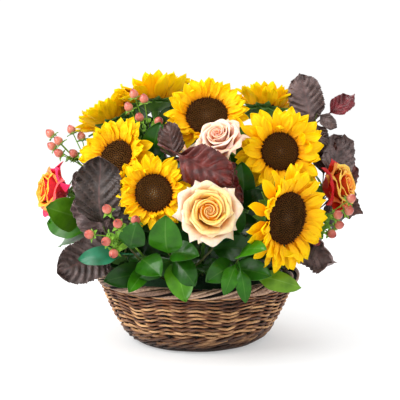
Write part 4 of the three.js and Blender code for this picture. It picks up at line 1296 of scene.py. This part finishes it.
def rose_green(name, at, axes, looks, size, seed, material):
    """Hip, sepals and stem."""
    rng = random.Random(seed)
    mesh = Mesh()
    top = -0.5 * size - 0.4
    hip = [[0.5, top - 10], [2.6, top - 9.6], [5.2, top - 6], [5.6, top - 2.4], [4.4, top], [0.5, top]]
    mesh.turned(hip, 20, axes, at, 0.4)
    bracts(mesh, at, axes, 4.4, top - 1.4, [(5, 25, 3.6, -8, -40)], rng)
    line = stem_line(at + looks * (top - 8.6), looks, 24)
    mesh.rod(line, ROSE_STEM, 9, 0.6)
    mesh.piece(f"rose_{name}_calyx", material, "stem", [f"rose_{name}_green"])
    return line


# ---------------------------------------------------------------------------------------------
# Berries
# ---------------------------------------------------------------------------------------------


def berry_spray(name, fork, berries, seed, skin, green):
    """Egg-shaped berries on thin stalks, each in a collar of five broad sepals."""
    rng = random.Random(seed)
    fruit, stalks = Mesh(), Mesh()
    end = np.array(fork, float)
    outwards = unit(end - FOCUS)
    foot = FOCUS + outwards * FOOT_REACH
    stalks.rod(np.linspace(foot, end, 8), np.linspace(*SPRAY_STEM, 8), 8, 0.5)
    for i, middle in enumerate(berries):
        root = end - outwards * (FIRST_STALK + STALK_SPACING * (len(berries) - 1 - i))
        middle = np.array(middle, float)
        away = unit(middle - root)
        seat = middle - away * BERRY_LENGTH * 0.45
        side = unit(np.cross(away, outwards) + 1e-6)
        bow = (root + seat) / 2 + outwards * 3 + side * rng.uniform(-2, 2)
        line = bezier([root, bow, seat], np.linspace(0, 1, 8))
        stalks.rod(line, np.linspace(*BERRY_STALK, 8), 6, 0.5)
        shape = []
        for t in np.linspace(0, 1, 14):
            swell = math.sin(math.pi * min(t, 0.985) ** 0.86) ** 0.62
            shape.append([max(0.25, BERRY_RADIUS * swell), BERRY_LENGTH * (0.97 * t - 0.45)])
        axes = axes_along(away)
        fruit.turned(shape, 18, axes, middle, rng.random())
        bracts(stalks, seat, axes, 0.8, 0.0, [(5, 9.5, 3.6, 24, -46)], rng)
        for turn in (rng.uniform(0, 3), rng.uniform(3, 6)):
            leaflet(stalks, bow, axes @ turn_z(turn), rng.uniform(10, 14), rng)
    for turn in (40, 220, 130):
        way = axes_along(outwards) @ turn_z(math.radians(turn))
        leaflet(stalks, end - outwards * (8 + turn / 20), way, 24, rng)
    fruit.piece(f"hypericum_{name}_fruit", skin, "berry", [f"hypericum_{name}"])
    return stalks.piece(f"hypericum_{name}_stalks", green, "stem")


def leaflet(mesh, root, axes, length, rng):
    """A small smooth leaf that leaves a stalk upwards and bends over."""
    bend = rng.uniform(0.7, 1.1)

    def rise(t):
        return 0.9 - bend * t

    def relief(t, s):
        return 0.05 * length * s * s + 0 * t

    grid = blade_grid(length, length * 0.27, oval_outline, rise, relief, 10, 7)
    mesh.blade(grid @ axes.T + root, LEAF, rng.random())


# ---------------------------------------------------------------------------------------------
# Hazel and leafy stems
# ---------------------------------------------------------------------------------------------


def on_bar(points, where):
    """The place on a stem that the frame's straight lengths put there."""
    knots = spaced(points, LEAFY_STEPS + 1)
    step = min(int(where * LEAFY_STEPS), LEAFY_STEPS - 1)
    return knots[step] + (knots[step + 1] - knots[step]) * (where * LEAFY_STEPS - step)


def leaf_axes(root, tip, looks):
    """A leaf's length, and its axes: along it, across it and out of its face."""
    along = np.array(tip, float) - root
    length = np.linalg.norm(along)
    along = along / length
    across = unit(np.cross(looks, along))
    return length, np.stack([along, across, np.cross(along, across)], axis=1)


def leaf_in_frame(root, tip, width, looks, corners):
    """Where this leaf lies in the frame: its length, half width and axes. A leaf there may be swung
    about its root, or made smaller, to keep it clear, so each way is tried until its tip meets a
    corner of the node."""
    length, axes = leaf_axes(root, tip, direction(*looks))
    for size in LEAF_SIZES:
        for bend in LEAF_BENDS:
            swung = axes @ turn_y(math.radians(bend))
            end = root + swung[:, 0] * length * size
            if np.min(np.linalg.norm(corners - end, axis=1)) < 0.5:
                return length * size, width / 2 * size, swung
    raise ValueError(f"the frame has no leaf that ends near {tip}")


def green_blade(length, half, rng, rows=GREEN_ROWS):
    """A smooth leaf, arched, folded a little along its midrib and dented."""
    curl = tilt(rng, 14, 38)
    fold = half * rng.uniform(0.1, 0.3) * (1 if rng.random() < 0.7 else -0.7)
    shallow = dents(rng, 0.06 * half, 1.0)

    def rise(t):
        return curl * (1 - 2 * t)

    def relief(t, s):
        off = np.abs(s)
        vein = 0.1 * np.cos(GREEN_VEIN_WAVE * (t - GREEN_RAKE * off)) * smooth(off, 0.05, 0.3)
        return (fold * off**1.3 + shallow(t, s) + vein) * smooth(t, 0.02, 0.2)

    outline = on_a_stalk(oval_outline, length, 2 * half, 2.3)
    twist, sweep = tilt(rng, -16, 16), rng.uniform(-3, 3)
    return blade_grid(length, half, outline, rise, relief, rows, GREEN_COLUMNS, twist, sweep)


def hazel_blade(length, half, rng):
    """A soft crumpled leaf, pleated along its side veins, its edge ruffled."""
    curl = tilt(rng, 12, 34)
    fold = half * rng.uniform(-0.3, 0.35)
    deep = dents(rng, 0.17 * half, 1.6)
    wander = dents(rng, 0.03, 1.2)
    phase = any_phase(rng)

    def rise(t):
        return curl * (1 - 2 * t)

    def relief(t, s):
        off = np.abs(s)
        place = t - HAZEL_RAKE * off + wander(t, s)
        pleat = 0.07 * half * np.cos(math.tau * HAZEL_VEINS * place) * smooth(off, 0.03, 0.3)
        ruffle = 0.1 * half * np.sin(19 * t + phase + 2 * s) * off**3
        return (pleat + ruffle + deep(t, s) + fold * off**1.4) * smooth(t, 0.04, 0.25)

    outline = on_a_stalk(hazel_outline, length, 2 * half, 1.55)
    twist = tilt(rng, -14, 14)
    return blade_grid(length, half, outline, rise, relief, HAZEL_ROWS, HAZEL_COLUMNS, twist)


def branch(name, entry, more, seed, shape, leaf_material, wood_material, slot):
    """A stem, its twig if it has one, every leaf where the frame has it, and more on stalks that
    leave the twig or else the stem."""
    rng = random.Random(seed)
    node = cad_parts[name]
    corners = np.array([v.co for v in node.data.vertices]) / MM
    wood, leaves = Mesh(), Mesh()
    runs = [(entry["stem"], entry["leaves"])]
    if "twig" in entry:
        twig = entry["twig"]
        runs.append(([on_bar(entry["stem"], twig["from"]), *twig["to"]], twig["leaves"]))
    for points, grown in runs:
        wood.rod(spaced(points, 20), np.linspace(*BRANCH, 20), 8, rng.random())
        for place, tip, width, looks, shade in grown:
            root = on_bar(points, place)
            length, half, axes = leaf_in_frame(root, tip, width, looks, corners)
            grid = shape(length, half, rng) @ axes.T + root
            leaves.blade(grid, LEAF, shade + rng.uniform(-0.04, 0.04))
    outermost = runs[-1][0]
    for place, root, tip, width, looks, shade in more:
        start = on_bar(outermost, place)
        wood.rod(np.linspace(start, root, 6), np.linspace(*LEAF_STALK, 6), 6, rng.random())
        length, axes = leaf_axes(np.array(root, float), tip, direction(*looks))
        leaves.blade(shape(length, width / 2, rng) @ axes.T + root, LEAF, shade)
    leaves.piece(f"{name}_leaves", leaf_material, slot, [name])
    return wood.piece(f"{name}_wood", wood_material, slot)


# ---------------------------------------------------------------------------------------------
# Leaves that close the gaps of the dome
# ---------------------------------------------------------------------------------------------

TRIES = 40  # ways that a filling leaf tries
LOWEST_TIP, HIGHEST_TIP = 112, 300
BERRY_ROOM, LEAF_ROOM = 14, 13  # that others keep from a berry and from a leaf's middle or tip
OVERLAP = 8  # that a filling leaf may have with what is near it
SPRIGS = 30
SPRIG_FOOT = (82, 98)  # distance from the axis, and height, in the foam's edge
SPRIG_WOOD = (1.3, 0.8)
SPRIG_ROWS = 22  # coarser than the other leaves, since little of them shows
SPRIG_LEAVES = [(3, 70), (4, -70), (6, 50), (7, -50), (9, 5)]  # point on the sprig, and swing


def crowded_places():
    """Middles of what the filling leaves keep clear of, each with the room that it takes."""
    places = [(at, radius * 0.8) for at, _, radius, _ in SUNFLOWERS.values()]
    places += [(at, radius * 0.95) for at, _, radius, _, _ in ROSES.values()]
    for _, berries in BERRY_SPRAYS.values():
        places += [(berry, BERRY_ROOM) for berry in berries]
    return [(np.array(at, float), room) for at, room in places]


def outside_the_dome(tip):
    """Whether a leaf's tip would stand out of the outline that the flowers make."""
    reach = math.hypot(tip[0], tip[1])
    return reach > 118 + 0.3 * (tip[2] - 100) or tip[2] > HIGHEST_TIP or tip[2] < LOWEST_TIP


def filling_leaves(name, line, shares, busy, seed, material):
    """Leaves along a flower's stem, each turned to where it finds the most room."""
    rng = random.Random(seed)
    mesh = Mesh()
    for share in shares:
        root = line[int(share * (len(line) - 1))]
        outwards = math.degrees(math.atan2(root[1], root[0]))
        best = None
        for _ in range(TRIES):
            way = direction(outwards + rng.uniform(-110, 110), rng.uniform(-15, 55))
            length = rng.uniform(44, 62)
            points = [root + way * length * 0.55, root + way * length]
            room = min(np.linalg.norm(p - at) - need for p in points for at, need in busy)
            if outside_the_dome(points[1]):
                room -= 60
            if best is None or room > best[0]:
                best = (room, way, length, points)
        room, way, length, points = best
        if room < -OVERLAP:
            continue
        busy += [(p, LEAF_ROOM) for p in points]
        looks = unit(direction(outwards, 40) + 0.01)
        _, axes = leaf_axes(root, root + way, looks)
        grid = green_blade(length, length * rng.uniform(0.24, 0.32), rng)
        # Mid to dark greens: partly the leaves' own tone, partly painted shade, as these leaves lie deep
        # among the flowers.
        mesh.blade(grid @ axes.T + root, LEAF, rng.uniform(0.5, 0.92))
    if mesh.count:
        mesh.piece(f"{name}_foliage", material, "green_leaf")


def collar_of_sprigs(leaf_material, wood_material):
    """Short leafy sprigs, pushed into the foam's edge all round, which hide the rim of the film."""
    rng = random.Random(61)
    wood, leaves = Mesh(), Mesh()
    for k in range(SPRIGS):
        azimuth = (k + rng.uniform(-0.3, 0.3)) * 360 / SPRIGS
        start = direction(azimuth, 0) * SPRIG_FOOT[0] + [0, 0, SPRIG_FOOT[1]]
        end = direction(azimuth + rng.uniform(-6, 6), 0) * rng.uniform(106, 116)
        end = end + [0, 0, rng.uniform(106, 128)]
        line = bezier([start, (start + end) / 2 + [0, 0, 8], end], np.linspace(0, 1, 10))
        wood.rod(line, np.linspace(*SPRIG_WOOD, 10), 6, rng.random())
        for place, swing in SPRIG_LEAVES:
            way = direction(azimuth + swing + rng.uniform(-14, 14), rng.uniform(-8, 26))
            length = rng.uniform(26, 36)
            looks = direction(azimuth, rng.uniform(35, 60))
            _, axes = leaf_axes(line[place], line[place] + way, looks)
            grid = green_blade(length, length * rng.uniform(0.27, 0.33), rng, SPRIG_ROWS)
            leaves.blade(grid @ axes.T + line[place], LEAF, rng.uniform(0.62, 0.92))
    leaves.piece("collar_leaves", leaf_material, "green_leaf")
    return wood.piece("collar_wood", wood_material, "green_leaf")


# ---------------------------------------------------------------------------------------------
# The whole
# ---------------------------------------------------------------------------------------------

SUNFLOWER_LEAVES = (0.24, 0.36, 0.48, 0.6, 0.7, 0.8)  # where filling leaves leave a stem
ROSE_LEAVES = (0.3, 0.42, 0.54, 0.66)
FRILLED = ("orange_rose", "red_orange_rose")


def stance(at, looks, roll):
    """A flower's middle, the way it looks, and its axes when it is rolled by so many degrees."""
    facing = direction(*looks)
    return np.array(at, float), facing, axes_along(facing) @ turn_z(math.radians(roll))


petal_gold = finish("fresh_sunflower_ray", sunflower_ray)
disc_brown = finish("packed_disc_florets", packed_florets)
stem_green = finish("downy_green_stem", downy_green, "#2c4c14", "#4a7a20", "#6f9c34")
sepal_green = finish("fresh_green_sepal", downy_green, "#4a7a14", "#6a9c20", "#94bc34")
leaf_green = finish("leathery_green_leaf", leathery_leaf)
hazel_purple = finish("pleated_purple_hazel", pleated_hazel)
twig_bark = finish("young_bark", young_bark)
berry_coral = finish("waxy_coral_berry", waxy_berry)
ROSE_COLOURS = {  # heart, body, rim, outermost petals
    "peach_rose": ("#fca010", "#ffc450", "#ffdf9e", "#f8d8c2"),
    "blush_rose": ("#f08e5e", "#f9b896", "#fedccb", "#fbcab2"),
    "orange_rose": ("#f28608", "#fc9a20", "#fdb038", "#f6245c"),
    "red_orange_rose": ("#f6500c", "#ffa238", "#ffcc54", "#b80610"),
}
rose_finishes = {name: finish(f"{name}_petal", rose_petal, *row) for name, row in ROSE_COLOURS.items()}

# Painted shade for the hollows of the weave, and the colour that darkens the willow towards its foot.
HOLLOW_SHADE, FOOT = "#080301", "#6e6059"
basket_base(finish("dark_willow", willow_rod, HOLLOW_SHADE, FOOT, "#3a2618", "#6a4a32", "#8c6a4a"))
basket_wall(finish("steamed_willow", willow_rod, HOLLOW_SHADE, FOOT, "#38190c", "#774524", "#d8a672"))
basket_border(finish("weathered_willow", willow_rod, HOLLOW_SHADE, FOOT, "#4a3026", "#8a6650", "#ccaa90"))
film_liner(finish("dark_polythene_film", polythene_film))
floral_foam(finish("soaked_floral_foam", soaked_foam))

busy_places = crowded_places()

# Every piece has a seed of its own, so that one can change and the others stay.
for number, (name, (at, looks, _, disc)) in enumerate(SUNFLOWERS.items()):
    at, facing, axes = stance(at, looks, number * SUNFLOWER_ROLL)
    sunflower_rays(name, at, axes, disc, 201 + number, petal_gold)
    sunflower_florets(name, at, axes, disc, 301 + number, disc_brown)
    line = sunflower_green(name, at, axes, facing, disc, 401 + number, stem_green)
    filling_leaves(f"sunflower_{name}", line, SUNFLOWER_LEAVES, busy_places, 451 + number, leaf_green)

for number, (name, (at, looks, radius, open_by, colour)) in enumerate(ROSES.items()):
    at, facing, axes = stance(at, looks, number * ROSE_ROLL)
    ruffle = FRILLED_RUFFLE if colour in FRILLED else PLAIN_RUFFLE
    rose_petals(name, at, axes, radius, open_by, ruffle, 501 + number, rose_finishes[colour], colour)
    line = rose_green(name, at, axes, facing, radius, 601 + number, stem_green)
    filling_leaves(f"rose_{name}", line, ROSE_LEAVES, busy_places, 651 + number, leaf_green)

for number, (name, (fork, berries)) in enumerate(BERRY_SPRAYS.items()):
    berry_spray(name, fork, berries, 701 + number, berry_coral, sepal_green)

for number, (name, entry) in enumerate(HAZEL.items()):
    more = MORE_HAZEL.get(name, [])
    branch(f"hazel_{name}", entry, more, 801 + number, hazel_blade, hazel_purple, twig_bark, "hazel_leaf")
for number, (name, entry) in enumerate(GREENS.items()):
    more = MORE_GREENS.get(name, [])
    branch(f"greens_{name}", entry, more, 901 + number, green_blade, leaf_green, twig_bark, "green_leaf")
collar_of_sprigs(leaf_green, twig_bark)


# ---------------------------------------------------------------------------------------------
# Studio
# ---------------------------------------------------------------------------------------------

CAMERA_AT = (0.004, -1.4854, 0.4037)  # metres; it looks 8 degrees down
CAMERA_TARGET = (0.004, 0, 0.195)
CAMERA_LENS, SENSOR = 96.4, 36
LAMP_TARGET = (0, 0, 0.2)
LAMPS = [  # round ones: name, place, width and watts
    ("key_left", (-1.6, -0.9, 1.4), 1.5, 48),
    ("fill_right", (1.5, -1.2, 0.9), 1.5, 3),
    ("top_back", (0.2, 0.9, 1.5), 0.9, 8),
]
ROOM_LIGHT = 1.08


def paper_floor():
    """White paper a hair's breadth under the basket."""
    bpy.ops.mesh.primitive_plane_add(size=40, location=(0, 0, -0.0002))
    floor = bpy.context.object
    floor.name = "studio_floor"
    floor.data.materials.append(finish("white_studio_paper", studio_paper))


def stand(name, data, place, target):
    """A lamp or the camera at its place, turned to its target."""
    holder = bpy.data.objects.new(name, data)
    bpy.context.scene.collection.objects.link(holder)
    holder.location = place
    aim = Vector(target) - holder.location
    holder.rotation_euler = aim.to_track_quat("-Z", "Y").to_euler()
    return holder


def soft_light():
    """An even white room and three broad lamps, of which the left one casts the faint shadows."""
    world = bpy.data.worlds.new("soft_room")
    bpy.context.scene.world = world
    world.use_nodes = True
    background = world.node_tree.nodes["Background"]
    background.inputs["Color"].default_value = linear("#ffffff")
    background.inputs["Strength"].default_value = ROOM_LIGHT
    for name, place, width, watts in LAMPS:
        lamp = bpy.data.lights.new(name, "AREA")
        lamp.shape = "DISK"
        lamp.size = width
        lamp.energy = watts
        stand(name, lamp, place, LAMP_TARGET)


def photo_camera():
    """The camera of the photo, and colours as they are."""
    camera = bpy.data.cameras.new("camera")
    camera.sensor_width = SENSOR
    camera.lens = CAMERA_LENS
    bpy.context.scene.camera = stand("camera", camera, CAMERA_AT, CAMERA_TARGET)
    bpy.context.scene.view_settings.view_transform = "Standard"


paper_floor()
soft_light()
photo_camera()
